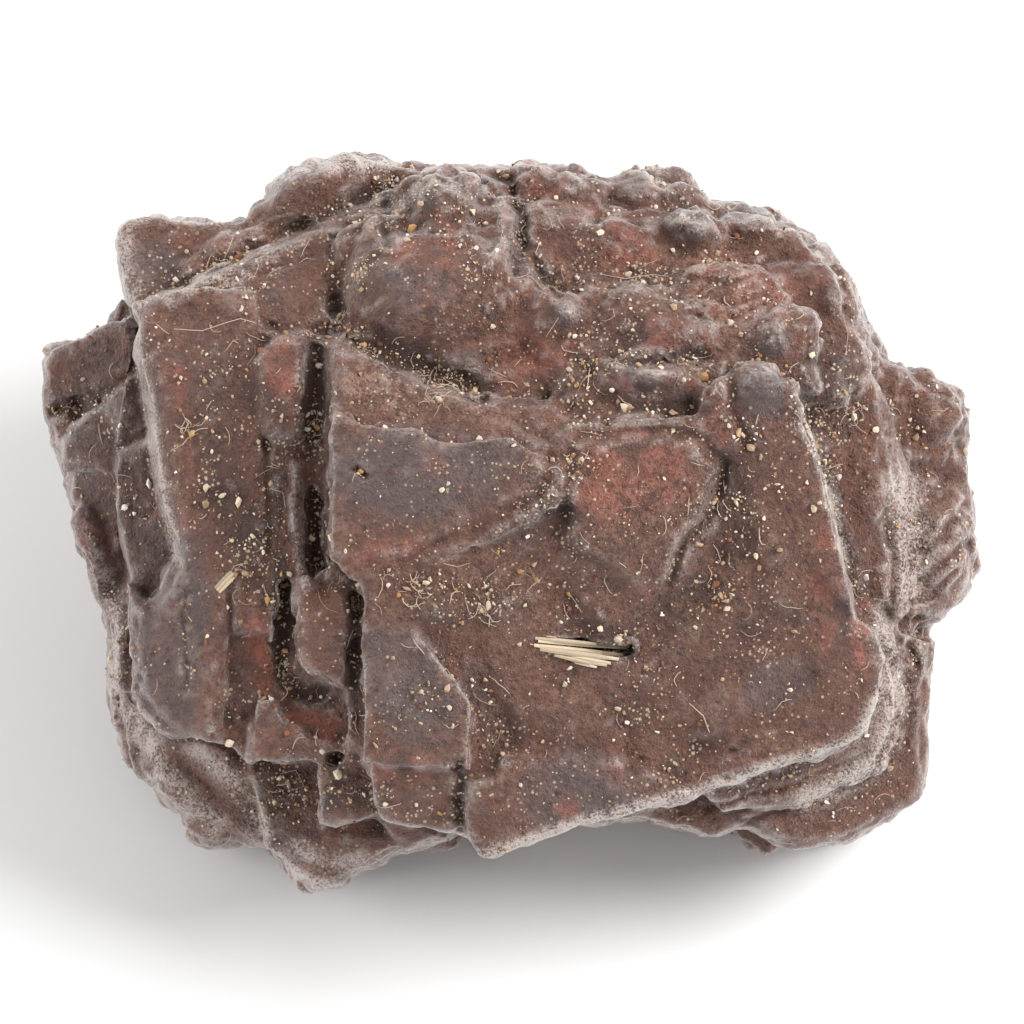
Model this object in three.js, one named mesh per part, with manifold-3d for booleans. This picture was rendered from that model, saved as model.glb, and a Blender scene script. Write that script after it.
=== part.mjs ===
// A prophecy stone: blocky iron oxide crystals that grew into each other as one solid stone.
//
// Millimetres, +Z up, origin below the middle of the stone at the level of the flat spot it rests on.
// The crystals are described in the stone's face frame: u runs right, v runs up the broad face and
// w rises out of it. The finished solid is then tipped onto its flat spot.

import * as THREE from "three";
import { mergeVertices } from "three/addons/utils/BufferGeometryUtils.js";
import Module from "manifold-3d";

// Driving dimensions
const TIP_ANGLE = 25; // degrees between the broad face's normal and straight up
const REST_LEVEL = -13.7; // height of the flat spot below the face frame's origin, once tipped
const CRYSTAL_ROOT = -4; // where the front crystals end inside the stone
const BACK_ROOT = -2; // where the back crystals end inside the stone
const SIDE_ROOT = 9; // how far from the stone's middle the side crystals start
const EDGE = 0.45; // worn width of a crystal's top edges
const FLARE = 0.12; // how much a crystal widens for each millimetre of depth, as a share of it
const OPEN_TOP = 16; // above every crystal, so that a gap reaches out of the face
const MERGE = 1e-4; // vertices closer than this are one
const LEVEL = Math.tan(THREE.MathUtils.degToRad(TIP_ANGLE)); // slope of a back face that lies flat on a table
const RUST_BROWN = 0x6f5449;

const wasm = await Module();
wasm.setup();

// A closed three.js geometry as a solid that can be joined and cut.
function solidOf(geometry) {
  const flat = geometry.index ? geometry.toNonIndexed() : geometry;
  const bare = new THREE.BufferGeometry().setAttribute("position", flat.getAttribute("position"));
  const merged = mergeVertices(bare, MERGE);
  return new wasm.Manifold(
    new wasm.Mesh({
      numProp: 3,
      vertProperties: merged.attributes.position.array,
      triVerts: new Uint32Array(merged.index.array),
    }),
  );
}

// A joined solid as a three.js geometry.
function geometryOf(solid) {
  const mesh = solid.getMesh();
  return new THREE.BufferGeometry()
    .setAttribute("position", new THREE.BufferAttribute(mesh.vertProperties, 3))
    .setIndex(new THREE.BufferAttribute(mesh.triVerts, 1));
}

// The middle of an outline.
function middleOf(outline) {
  const sum = outline.reduce(([a, b], [u, v]) => [a + u, b + v], [0, 0]);
  return [sum[0] / outline.length, sum[1] / outline.length];
}

// A flat-topped crystal that stands on its outline. Its top is at height top over the outline's middle
// and leans by slope = [rise per mm of u, rise per mm of v]. Its edges are worn by edge, and its sides
// spread with depth by flare.
function crystal({ outline, top, slope = [0, 0], root = CRYSTAL_ROOT, edge = EDGE, flare = 0 }) {
  const shape = new THREE.Shape(outline.map(([u, v]) => new THREE.Vector2(u, v)));
  const height = top - root;
  const geometry = new THREE.ExtrudeGeometry(shape, {
    depth: height - 2 * edge,
    steps: 1,
    bevelEnabled: true,
    bevelThickness: edge,
    bevelSize: edge,
    bevelOffset: -edge,
    bevelSegments: 1,
    curveSegments: 1,
  });
  const [u0, v0] = middleOf(outline);
  const points = geometry.getAttribute("position");
  for (let i = 0; i < points.count; i++) {
    const share = (points.getZ(i) + edge) / height;
    const spread = 1 + flare * (1 - share);
    const du = (points.getX(i) - u0) * spread;
    const dv = (points.getY(i) - v0) * spread;
    const rise = slope[0] * du + slope[1] * dv;
    points.setXYZ(i, u0 + du, v0 + dv, root + share * (height + rise));
  }
  return solidOf(geometry);
}

// A rounded lump of oxide: an ellipsoid of the given radii, turned in the plane of the face.
function nodule({ at, radii, turn = 0, detail = 1 }) {
  const geometry = new THREE.IcosahedronGeometry(1, detail);
  geometry.scale(...radii);
  geometry.rotateZ(THREE.MathUtils.degToRad(turn));
  geometry.translate(...at);
  return solidOf(geometry);
}

// A gap between crystals, with straight walls: it is open towards +w and floor is its depth.
function cavity({ outline, floor }) {
  return crystal({ outline, top: OPEN_TOP, root: floor, edge: 0.15 });
}

// The ground the crystals stand on: three terraces, each inside the one below.
const body = [
  { outline: [[-22, 6.5], [-18, 9.5], [-17.8, 14], [-8, 17.2], [8, 16.6], [16, 12.6], [18.3, 7.6], [22.4, 5],
      [22.6, -2.4], [20, -6], [20, -13], [16, -15], [4, -14.2], [-9.5, -17.2], [-15, -15], [-18.6, -11.4],
      [-19.4, -6], [-21, -1]],
    top: 2, root: -7, edge: 1.9 },
  { outline: [[-17.5, 8.5], [-16.5, 13], [-8, 15.4], [8, 15], [14.6, 11.4], [17.6, 6], [19, 0], [18, -8], [15.4, -12.6],
      [4, -13.8], [-4, -14.8], [-13, -13], [-16.5, -9], [-17.5, -2]],
    top: 5.2, root: -7, edge: 2.1 },
  { outline: [[-12.4, 9.4], [-8, 12], [3, 12], [11, 10], [14.8, 5], [16, -2], [15.6, -9], [8, -12], [-5, -13],
      [-9, -11.8], [-12.6, -10.4], [-12.8, -3]],
    top: 7.4, root: -7, edge: 1.2 },
];

// The left wall: plates stacked like books, stepping up to the tall left crystal.
const leftWall = [
  { outline: [[-23.6, 8.3], [-23.2, 8.9], [-19, 10.5], [-18, 7.4], [-20.3, 6.5], [-22.1, 6], [-23.3, 5.5]],
    top: 1.6, slope: [0.4, 0.05], root: -6.4 },
  { outline: [[-23.3, 5.5], [-21.8, 6], [-21.4, 3.9], [-22.8, 3.6]], top: 0.9, slope: [0.3, 0] },
  { outline: [[-22.4, 3.9], [-21.8, 5.1], [-20.3, 6.3], [-19.6, 5.5], [-19.2, 3.4], [-20, 2.4], [-22.2, 2.4]],
    top: 2.5, slope: [0.45, 0.1] },
  { outline: [[-22.9, 4], [-20.1, 3.4], [-19.3, 1.1], [-18.8, -1.2], [-20.7, -3.9], [-21.7, -0.9], [-22.4, 2.1]],
    top: 1.2, slope: [0.8, 0], root: -3, edge: 0.7 },
  { outline: [[-20.4, 6.4], [-18.1, 7.2], [-17.3, 4.2], [-19.6, 3]], top: 4.2, slope: [0.5, 0.1], edge: 0.7 },
  { outline: [[-19.6, 3], [-17.3, 4.2], [-16.3, -1.2], [-17.9, -3.9], [-18.6, -3.9], [-18.9, -1.2], [-19.5, 1.2]],
    top: 5, slope: [0.4, 0] },
  { outline: [[-20.7, -3.9], [-18.8, -3], [-18.9, -8.8], [-17.8, -10.2], [-18.7, -11.6], [-19.2, -12.2],
      [-19.9, -10.7], [-20.3, -7.2], [-20, -5.5]],
    top: 1.4, slope: [1, 0], root: -7.4, edge: 0.4 },
];

// The tall left crystal, the block below it and the slab behind it.
const leftFace = [
  { outline: [[-18.7, 10.8], [-15.4, 11.6], [-12.9, 11.9], [-12.3, 9.6], [-11.6, 4.1], [-11.6, -1.9],
      [-13.4, -3.9], [-16.2, -4.9], [-16.5, -1.2], [-17.5, 6]],
    top: 8.1, slope: [0.14, 0], edge: 0.6 },
  { outline: [[-18.9, -3], [-17.9, -3.9], [-16.5, -1.4], [-13.4, -1.9], [-13.4, -4.7], [-13.7, -7.2], [-14, -10.9],
      [-16.9, -10.9], [-17.8, -10.2], [-19, -8.8], [-19, -5.2]],
    top: 7.5, slope: [0.3, 0.09], root: -8.8, edge: 0.9 },
  { outline: [[-18.4, 10.9], [-15.4, 12.4], [-10.4, 14.4], [-8.1, 14.9], [-8.4, 11.1], [-8.8, 9.4], [-12.3, 9.4],
      [-15.4, 9.6]],
    top: 6.9, slope: [0.05, -0.5], edge: 0.7 },
  { outline: [[-19.3, 14.1], [-18.9, 15.2], [-17.9, 15.5], [-14.6, 15.1], [-8.9, 15.9], [-8.1, 14.4], [-10.4, 14.1],
      [-15.4, 11.9], [-18.4, 10.9], [-18.8, 11.1]],
    top: 2.7, slope: [0.02, -0.3], root: -5.2 },
  { outline: [[-12.9, 16.1], [-11.2, 17.5], [-9.4, 18.3], [-7.9, 18.6], [-6.2, 18.3], [-4.2, 18], [-3.9, 17.3],
      [-6.4, 16.3], [-10.4, 15.3], [-13.4, 15]],
    top: 2, slope: [0, -0.4], root: -8, edge: 0.4 },
  { outline: [[-10.4, 15.3], [-6.4, 16.6], [-3.9, 17.3], [-5.4, 13.6], [-8.4, 11.1], [-8.7, 14.1]],
    top: 5.2, slope: [0.2, -0.6], edge: 0.7 },
];

// The sunken band between the tall left crystal and the middle slab, with its ledges.
const leftBand = [
  { outline: [[-12.3, 9.6], [-8.8, 9.2], [-8.8, -4], [-11.7, -5.9], [-11.7, 4.1]], top: 8.6 },
  { outline: [[-12.7, 8.6], [-11.2, 9.2], [-10.2, 9.1], [-10.1, 4.1], [-10.9, 3.4], [-12.3, 4.6]],
    top: 8.9, slope: [0.1, -0.06], edge: 0.3 },
  { outline: [[-11.9, 3.9], [-10.4, 3.6], [-10.4, -5.9], [-11.9, -6.4]], top: 8.6, edge: 0.3 },
  { outline: [[-10.7, -2.8], [-9.2, -2.1], [-7.9, -2.3], [-7.8, -5.5], [-7.9, -8.5], [-8.7, -8.2], [-9.9, -7.8],
      [-10.4, -6.9], [-10.5, -4.5]],
    top: 9.7, slope: [0.06, 0.05], edge: 0.35 },
  { outline: [[-8.3, -2.2], [-7.1, -2.2], [-7, -11.7], [-8.1, -11.6]], top: 8.8 },
  { outline: [[-13.9, -2.2], [-11.3, -1.6], [-11.3, -6], [-13.9, -5.6]], top: 8.2 },
  { outline: [[-13.6, -3.9], [-10.4, -5.7], [-7.4, -5.5], [-7.4, -11.9], [-12.9, -12.2], [-14.1, -10.9],
      [-13.8, -7.2]],
    top: 7.5, slope: [0.14, 0.1] },
  { outline: [[-12.5, -8.6], [-11.2, -8.8], [-10.7, -10.1], [-8, -11.1], [-8.4, -12], [-12.9, -12.1]],
    top: 8.1, slope: [0.1, 0.1], edge: 0.3 },
];

// The middle: the dark slab with its dusty upper slope, the dome above it and the red plate on its right.
const middle = [
  { outline: [[-9.4, 10.6], [-4.9, 9.8], [-1.4, 8.4], [3.6, 9.4], [5, 5.6], [2, 3], [-8.9, 4.6]],
    top: 9.2, slope: [0, -0.22], edge: 0.9 },
  { outline: [[-8.9, 9], [-7.9, 9.6], [-2.8, 7.1], [2.6, 6.1], [4.6, 4.1], [3.4, 2.3], [0.3, 2.4], [-2.8, 2],
      [-6.6, 2.6], [-8.8, 3.4]],
    top: 11.3, slope: [0, -0.5], edge: 0.6 },
  { outline: [[-8.9, 6.1], [-6.6, 4.7], [-4.7, 4.7], [-2.8, 4], [0.3, 4.4], [3.4, 2.3], [3.5, 1.2], [0.1, -0.7],
      [-2.8, -1.8], [-7.9, -3], [-9, -1.8]],
    top: 12.3, slope: [0.04, 0.08], edge: 0.35 },
  { outline: [[-8.8, 13.6], [-5.6, 14.6], [-0.9, 13.6], [1.9, 12], [2.8, 9.6], [1.6, 8.6], [-1.4, 7.2], [-2.8, 7.6],
      [-4.9, 8.8], [-7.9, 10.1], [-8.8, 11.3]],
    top: 8.6, slope: [0.04, -0.3], edge: 1.1 },
  { outline: [[2.8, 3.4], [4.6, 4.1], [7.7, 4], [9.7, 3.8], [10.4, 2.9], [10.2, 2.1], [9.5, 0.7], [7.2, -2.3],
      [6.6, -3.9], [4.6, -1.9], [2.7, -0.9]],
    top: 11.6, slope: [-0.1, 0.18], edge: 0.4 },
];

// The great right-hand crystal face, with the panels along its lower edge and the crest on its right.
const rightFace = [
  { outline: [[-7.4, -3.9], [-8.3, -2], [-2, 2.4], [3.4, 5], [9.6, 5.4], [11.4, 7.1], [12.8, 7.5], [14.1, 6.6],
      [15.1, 4.8], [16.1, 1.5], [16.9, -2.4], [17.2, -4.8], [18.4, -5.6], [18.8, -7.1], [17.9, -10.4], [16.1, -11.5],
      [9.5, -13.6], [3.3, -15.1], [-1, -16.8], [-2.2, -12.9], [-1.9, -8.9], [-7.4, -8.4]],
    top: 10.2, slope: [-0.06, 0.22], root: -9.6, edge: 0.5 },
  { outline: [[11.4, 7.1], [12.8, 7.5], [14.1, 6.6], [15.1, 4.8], [16.1, 1.5], [16.9, -2.4], [17.2, -4.8], [14.6, -1.9],
      [12.6, 3.6], [11.6, 6.1]],
    top: 11.3, slope: [0.02, 0.2], edge: 0.3 },
  { outline: [[-7.4, -4.9], [-4.7, -5.2], [-1.8, -8.6], [-1.9, -12.3], [-7.2, -12.2]], top: 10.6,
    slope: [0.03, 0.15], edge: 0.3 },
  { outline: [[-7, -11.8], [-1.9, -11.9], [-2.3, -15.7], [-3.4, -15.8], [-6.4, -15]], top: 8.5,
    slope: [0, 0.45], edge: 0.3 },
  { outline: [[-2.2, -12.9], [-0.7, -12.6], [-0.4, -11.5], [5.4, -11.4], [8.1, -12.6], [9.5, -13.6], [6.5, -14.2],
      [3.3, -15.1], [-1, -16.9], [-2.3, -15.7]],
    top: 8.9, slope: [-0.08, 0.25], edge: 0.3 },
];

// The worn terrain above the middle, rising in slopes from the rim of the stone.
const upperSlope = [
  { outline: [[1.8, 8.8], [3.6, 12.4], [10.6, 12], [15.2, 9.7], [15.6, 6.2], [11.4, 6.8], [9.6, 3.9], [4.6, 3.6],
      [2.2, 5.6]],
    top: 9.9, slope: [-0.05, -0.42], edge: 0.9 },
  { outline: [[-4, 14], [0, 16.4], [10.6, 15.6], [15.6, 13.3], [18.2, 9.4], [17, 5.6], [11, 5.5], [2, 7]],
    top: 7.4, slope: [-0.14, -0.5], edge: 1 },
  { outline: [[0.1, 17.7], [0.6, 18.1], [2.6, 18.1], [5.1, 17.2], [6.6, 17.8], [8.9, 17.7], [9.6, 16.9], [10, 16.1],
      [12.1, 16], [13.6, 15.5], [14.6, 14.7], [15.9, 14.1], [16.6, 13], [13.6, 10], [4.6, 11], [0.6, 13]],
    top: 3.4, slope: [-0.1, -0.5], root: -6.6, edge: 0.6 },
  { outline: [[16.6, 13], [17.5, 12.4], [17.7, 11.1], [19.1, 8.2], [19.6, 6.1], [16.4, 5], [13.4, 9.6], [13.4, 12.6]],
    top: 4, slope: [-0.6, -0.2], root: -3.2, edge: 0.7 },
  { outline: [[-4.2, 18], [-2.9, 17.8], [0.1, 17.7], [1.6, 14.1], [-5.4, 13], [-6.4, 16.4]],
    top: 3.6, slope: [0, -0.5], edge: 0.6 },
];

// The right side: the shelf beside the crest, the lobe on the rim and the layered wall under the face.
const rightSide = [
  { outline: [[13.5, 7.2], [18.4, 7.8], [20.2, 2.1], [20.4, -4], [18.6, -6], [16, -5.4], [15, 1.5]],
    top: 6, slope: [-0.5, 0.1], edge: 0.8 },
  { outline: [[19.1, 8.2], [20.9, 7.6], [22.6, 6.7], [23.4, 5.6], [23.4, 4.1], [23.2, 2.4], [19, 2], [18.2, 7]],
    top: 3.1, slope: [-0.5, 0], root: -7, edge: 1 },
  { outline: [[23.2, 2.4], [23.5, 1.6], [23.7, -1.4], [23.4, -3.2], [21.9, -4.9], [19.9, -5.5], [18.6, -3.9],
      [18.4, 2.1]],
    top: 2.7, slope: [-0.6, 0.05], root: -4.8, edge: 0.8 },
  { outline: [[17.2, -4.8], [21.4, -5.9], [21.1, -9.9], [21, -13.4], [20.4, -14.2], [16.9, -16.3], [13.4, -16.2],
      [11.9, -15.2], [9.6, -13.9], [12, -9]],
    top: 2.7, slope: [-0.35, 0.35], root: -8.6, edge: 0.6 },
  { outline: [[17.2, -4.8], [19.6, -5.9], [19.9, -9.9], [18.9, -12.4], [14.6, -14.2], [10.6, -14.7], [9.5, -13.6],
      [12, -8]],
    top: 5, slope: [-0.35, 0.3], edge: 0.6 },
  { outline: [[3.3, -15.1], [4.1, -15.3], [6.6, -15], [9.1, -15.4], [9.9, -15.8], [11.9, -15.2], [12.6, -13.9],
      [6.6, -13.4]],
    top: 3.3, slope: [0, 0.3], root: -5.6, edge: 0.3 },
];

// The lower left corner: the pit with its small panel, the pointed slab and the wrinkled flank.
const lowerLeft = [
  { outline: [[-9.4, -11.1], [-7.2, -11.5], [-6.6, -13.2], [-6.5, -15], [-9.5, -15.5]], top: 7.5,
    slope: [0, 0.35], edge: 0.3 },
  { outline: [[-12.1, -16.3], [-10.9, -15.6], [-6.6, -15.3], [-4.9, -16.4], [-7.5, -17.6], [-8.2, -18.2],
      [-9.8, -18.6], [-10.9, -17.9], [-11.4, -16.9]],
    top: 3.7, slope: [0, 0.6], root: -5.4, edge: 0.5 },
  { outline: [[-13.4, -12.1], [-9.2, -12.1], [-9.2, -15.7], [-12.2, -16.4]], top: 4.1, slope: [0, 0.1] },
  { outline: [[-6.6, -14.9], [-2.3, -15.4], [-2.5, -15.8], [-5.4, -16.7]], top: 4.8, slope: [0, 0.8], edge: 0.2 },
  { outline: [[-18.7, -11.6], [-17.8, -10.2], [-14, -10.9], [-12.9, -12.2], [-12.2, -16.3], [-15.2, -16.2],
      [-15.9, -15.2], [-17.4, -14.2], [-19.2, -12.2]],
    top: 2.7, slope: [0.35, 0.5], root: -7, edge: 0.7 },
];

// Rounded lumps, mostly along the top and on the right rim.
const nodules = [
  { at: [-3.2, 11.2, 4.2], radii: [6.3, 4.4, 5.9], detail: 2 },
  { at: [-3.2, 15.4, 3.9], radii: [2.9, 2.6, 3.1] },
  { at: [-9.9, 16.4, 1.3], radii: [3.6, 1.9, 2.6], turn: 30 },
  { at: [-13.2, 13.4, 2.4], radii: [3, 1.6, 1.7], turn: 20 },
  { at: [-7.2, 13.4, 6], radii: [2.6, 1.7, 1.7], turn: 50 },
  { at: [0.9, 16.4, 2.9], radii: [1.8, 1.5, 1.6] },
  { at: [3.4, 15.9, 2.8], radii: [2.3, 2.1, 2.1] },
  { at: [7.3, 16, 2.2], radii: [3.2, 1.8, 1.8], turn: -8 },
  { at: [4.6, 13.2, 5.7], radii: [3.4, 2.2, 1.6], turn: 15 },
  { at: [9.4, 14.5, 5], radii: [1.8, 1.6, 1.6] },
  { at: [12.8, 13.7, 3.5], radii: [3.1, 1.8, 2], turn: -25 },
  { at: [11.2, 11.4, 6.7], radii: [3.4, 1.9, 1.5], turn: -20 },
  { at: [15.6, 11, 4.6], radii: [2, 2.4, 2.2], turn: 25 },
  { at: [16.9, 7.7, 5.4], radii: [1.8, 2.3, 2.2] },
  { at: [13.5, 9, 8.4], radii: [2.4, 2, 1.6] },
  { at: [2.3, 9.9, 8.3], radii: [1.8, 2, 1.3] },
  { at: [7.4, 9.8, 8.4], radii: [3.5, 2, 1.7], turn: -10 },
  { at: [7, 6.9, 9.8], radii: [3.1, 1.9, 1.8] },
  { at: [10.8, 6.1, 11.1], radii: [1.8, 1.6, 1.2] },
  { at: [12.6, 6.8, 11], radii: [2, 1.2, 1.6], turn: -15 },
  { at: [21.2, 5.2, 1.4], radii: [2.2, 2.3, 2.8] },
  { at: [21.2, -1.3, 0.8], radii: [2.4, 3.3, 3.3], turn: -10 },
  { at: [18.6, -2.6, 3.4], radii: [1.9, 3, 2.2] },
  { at: [17.6, 2.6, 5.3], radii: [1.7, 3.1, 1.4], turn: 8 },
  { at: [-19.5, -7.3, 1.2], radii: [0.9, 1.7, 1.7] },
  { at: [-14.6, -15.5, 0.5], radii: [1.9, 1.1, 1.8] },
  { at: [-20.9, -1.2, 0.5], radii: [1, 2.4, 1.9], turn: 10 },
  { at: [-16.3, -13.2, 1.7], radii: [2.2, 1.5, 1.7], turn: -40 },
];

// Gaps that run down between the crystals.
const cavities = [
  { outline: [[-9.8, 8.9], [-9.4, 8.7], [-9.2, 7], [-9.5, 4.1], [-9.9, 3.9], [-10.2, 6.4]], floor: 7.9 },
  { outline: [[-9.9, 2.2], [-9.4, 1.6], [-9.3, -0.6], [-9.4, -2.9], [-9.9, -2.9], [-10.15, -0.4], [-10.1, 1]], floor: 7.4 },
  { outline: [[-11.3, -2.6], [-10.8, -2.6], [-10.7, -5], [-10.7, -8.2], [-11.4, -8.2], [-11.4, -6]], floor: 6.9 },
  { outline: [[-11.4, -7.7], [-10.7, -7.7], [-9.9, -8.2], [-8.7, -8.3], [-8.6, -8.6], [-9.5, -9.1], [-10.8, -8.9]],
    floor: 6.8 },
  { outline: [[-8.9, -11.4], [-8.1, -11.4], [-8.1, -12.2], [-8.9, -12.2]], floor: 6.6 },
  { outline: [[1.6, -5.9], [6.3, -5.9], [6.4, -6.7], [1.9, -6.3]], floor: 8.6 },
];

// The back, seen from behind: crystals with their own outlines, standing on the body the other way.
const back = [
  { outline: [[-10, -6.4], [4.6, -8], [11.4, -1.6], [8.2, 7], [-2.6, 8.6], [-11, 3.6]], top: 15.8,
    slope: [0, LEVEL], edge: 1 },
  { outline: [[-11.5, -11], [7, -12.5], [14.5, -3], [10.5, 9.5], [-4, 12], [-14, 6]], top: 12.8,
    slope: [0.04, 0.22], edge: 1.1 },
  { outline: [[-15.5, 10.5], [-9, 14.6], [3, 13.6], [5.5, 5.5], [-6, 2], [-14.5, 4]], top: 12,
    slope: [0.08, -0.1], edge: 0.8 },
  { outline: [[5, 13], [13.5, 11.8], [16.4, 3.2], [8.5, 0.5], [4, 6]], top: 11, slope: [-0.2, -0.1], edge: 0.7 },
  { outline: [[8.5, 1.5], [17.6, 0.4], [17.4, -8.4], [11, -12.4], [6, -8]], top: 10.4, slope: [-0.25, 0.15],
    edge: 0.9 },
  { outline: [[-19, 4.6], [-11.8, 6.2], [-11, -2.8], [-19.4, -2]], top: 9.6, slope: [0.3, 0.1], edge: 0.8 },
  { outline: [[-18.4, -3], [-9.8, -2], [-9, -12.8], [-16.6, -13]], top: 8.8, slope: [0.28, 0.16], edge: 0.9 },
  { outline: [[-8.5, -8.5], [3.5, -7.5], [5.5, -14.8], [-6, -14]], top: 9.6, slope: [0.05, 0.3], edge: 0.7 },
  { outline: [[5, -8], [15.8, -9], [13.5, -14.8], [8.6, -16.4]], top: 7.4, slope: [-0.1, 0.3], edge: 0.7 },
  { outline: [[13.5, 10.6], [20.2, 7.4], [20.4, -0.5], [15, -1]], top: 7.4, slope: [-0.35, 0], edge: 0.8 },
];

// The sides between face and back: crystals that grew outwards, each given by the bearing it points to,
// how far its end reaches, and the height of its middle. Outlines run sideways and up.
const slab = [[-5, -4.2], [4.4, -3.6], [4.9, 3], [-0.6, 4.4], [-4.6, 2.6]];
const wedge = [[-4.4, -4.8], [2.6, -5.2], [5.2, 0.4], [3.4, 4], [-4.8, 3.4]];
const brick = [[-3.8, -3.4], [4.2, -4.4], [4, 3.6], [-4.2, 3.8]];
const stub = [[-2.6, -5.2], [3, -4], [3.4, 1.6], [0.4, 3.6], [-3.6, 1.8]];
const sides = [
  { bearing: 349, reach: 21.3, level: -5.2, outline: slab, slope: [0.08, 0.34] },
  { bearing: 10, reach: 21.4, level: -7.4, outline: stub, slope: [-0.2, 0.4] },
  { bearing: 29, reach: 19.6, level: -4.6, outline: wedge, slope: [-0.12, 0.3] },
  { bearing: 52, reach: 17.2, level: -6.4, outline: brick, slope: [0.1, 0.42] },
  { bearing: 76, reach: 15.7, level: -4.4, outline: slab, slope: [-0.08, 0.3] },
  { bearing: 99, reach: 15.9, level: -6.8, outline: wedge, slope: [0.14, 0.36] },
  { bearing: 122, reach: 17.6, level: -4.4, outline: brick, slope: [-0.12, 0.28] },
  { bearing: 143, reach: 20, level: -7, outline: stub, slope: [0.06, 0.4] },
  { bearing: 162, reach: 21.5, level: -4.8, outline: slab, slope: [-0.16, 0.34] },
  { bearing: 186, reach: 19.4, level: -6.6, outline: wedge, slope: [0.1, 0.36] },
  { bearing: 206, reach: 19.2, level: -4.4, outline: brick, slope: [-0.14, 0.26] },
  { bearing: 228, reach: 19.4, level: -7, outline: slab, slope: [0.08, 0.42] },
  { bearing: 250, reach: 16.4, level: -4.2, outline: stub, slope: [0.1, 0.22] },
  { bearing: 272, reach: 14.4, level: -5.6, outline: brick, slope: [-0.06, 0.3] },
  { bearing: 296, reach: 14.6, level: -4, outline: wedge, slope: [0.12, 0.24] },
  { bearing: 320, reach: 20.2, level: -6.2, outline: slab, slope: [-0.1, 0.4] },
];

// A crystal that points outwards at its bearing instead of out of the face.
function sideCrystal({ bearing, reach, level, outline, slope }) {
  const upright = crystal({ outline, top: reach, slope, root: SIDE_ROOT, edge: 0.7 });
  const angle = THREE.MathUtils.degToRad(bearing);
  const outwards = new THREE.Vector3(Math.cos(angle), Math.sin(angle), 0);
  const up = new THREE.Vector3(0, 0, 1);
  const turn = new THREE.Matrix4().makeBasis(up.clone().cross(outwards), up, outwards);
  return solidOf(geometryOf(upright).applyMatrix4(turn).translate(0, 0, level));
}

// Joins every crystal and lump of the face and the sides.
function faceSolid() {
  const groups = [body, leftWall, leftFace, leftBand, middle, rightFace, upperSlope, rightSide, lowerLeft];
  const crystals = groups.flat().map(crystal);
  return wasm.Manifold.union([...crystals, ...nodules.map(nodule), ...sides.map(sideCrystal)]);
}

// Joins the back crystals and turns them about the v axis, so that they stand out behind.
function backSolid() {
  const joined = wasm.Manifold.union(back.map((one) => crystal({ root: BACK_ROOT, flare: FLARE, ...one })));
  return solidOf(geometryOf(joined).rotateY(Math.PI));
}

// What is ground away to make the flat spot that the stone rests on.
function belowRest() {
  const size = 100;
  const block = new THREE.BoxGeometry(size, size, size);
  block.translate(0, 0, REST_LEVEL - size / 2);
  block.rotateX(-THREE.MathUtils.degToRad(TIP_ANGLE));
  return solidOf(block);
}

const stoneSolid = wasm.Manifold.union([faceSolid(), backSolid()])
  .subtract(wasm.Manifold.union(cavities.map(cavity)))
  .subtract(belowRest());

const stone = new THREE.Mesh(
  geometryOf(stoneSolid),
  new THREE.MeshStandardMaterial({ color: RUST_BROWN, roughness: 0.62, metalness: 0 }),
);
stone.name = "stone";
stone.rotation.x = THREE.MathUtils.degToRad(TIP_ANGLE);
stone.updateMatrixWorld(true);

// The origin goes below the middle of the tipped stone, at the level of its flat spot.
const extent = new THREE.Box3().setFromObject(stone, true);
stone.position.set(-(extent.min.x + extent.max.x) / 2, -(extent.min.y + extent.max.y) / 2, -extent.min.z);

const part = new THREE.Group();
part.add(stone);

export default part;
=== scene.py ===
"""A prophecy stone: blocky iron oxide crystals grown into one lump, worn and dusted with sand."""

import itertools
import logging
import math
from dataclasses import dataclass, field
from enum import Enum
from typing import Any, Iterable, Sequence

import bpy
import numpy as np
from mathutils import Matrix, Vector


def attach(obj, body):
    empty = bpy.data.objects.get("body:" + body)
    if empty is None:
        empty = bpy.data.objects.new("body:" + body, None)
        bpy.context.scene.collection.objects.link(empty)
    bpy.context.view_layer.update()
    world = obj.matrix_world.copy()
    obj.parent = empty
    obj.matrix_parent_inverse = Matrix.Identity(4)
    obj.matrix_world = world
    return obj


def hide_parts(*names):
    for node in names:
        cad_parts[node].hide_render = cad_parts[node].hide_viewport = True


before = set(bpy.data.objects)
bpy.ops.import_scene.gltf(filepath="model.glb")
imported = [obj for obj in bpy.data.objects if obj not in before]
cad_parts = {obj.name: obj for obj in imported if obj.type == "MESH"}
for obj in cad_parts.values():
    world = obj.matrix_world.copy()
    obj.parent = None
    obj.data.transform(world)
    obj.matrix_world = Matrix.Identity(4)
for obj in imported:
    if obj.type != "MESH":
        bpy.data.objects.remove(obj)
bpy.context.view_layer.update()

log = logging.getLogger("prophecy_stone")

Array = np.ndarray
Span = tuple[float, float]
MM = 0.001


# ---------------------------------------------------------------------------------------------------------
# Helpers for meshes and numbers
# ---------------------------------------------------------------------------------------------------------


def linear(red: int, green: int, blue: int) -> tuple[float, float, float, float]:
    """Turns a colour of the display, 0 to 255, into the linear one that a shader takes."""

    def one(value: int) -> float:
        share = value / 255
        return share / 12.92 if share <= 0.04045 else ((share + 0.055) / 1.055) ** 2.4

    return one(red), one(green), one(blue), 1.0


def smoothstep(low: float, high: float, value: Array) -> Array:
    """Runs from 0 at low to 1 at high along a smooth curve."""
    share = np.clip((value - low) / (high - low), 0, 1)
    return share * share * (3 - 2 * share)


def select_only(piece: bpy.types.Object) -> None:
    """Makes a piece the only one selected, and the active one."""
    bpy.ops.object.select_all(action="DESELECT")
    piece.select_set(True)
    bpy.context.view_layer.objects.active = piece


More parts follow.
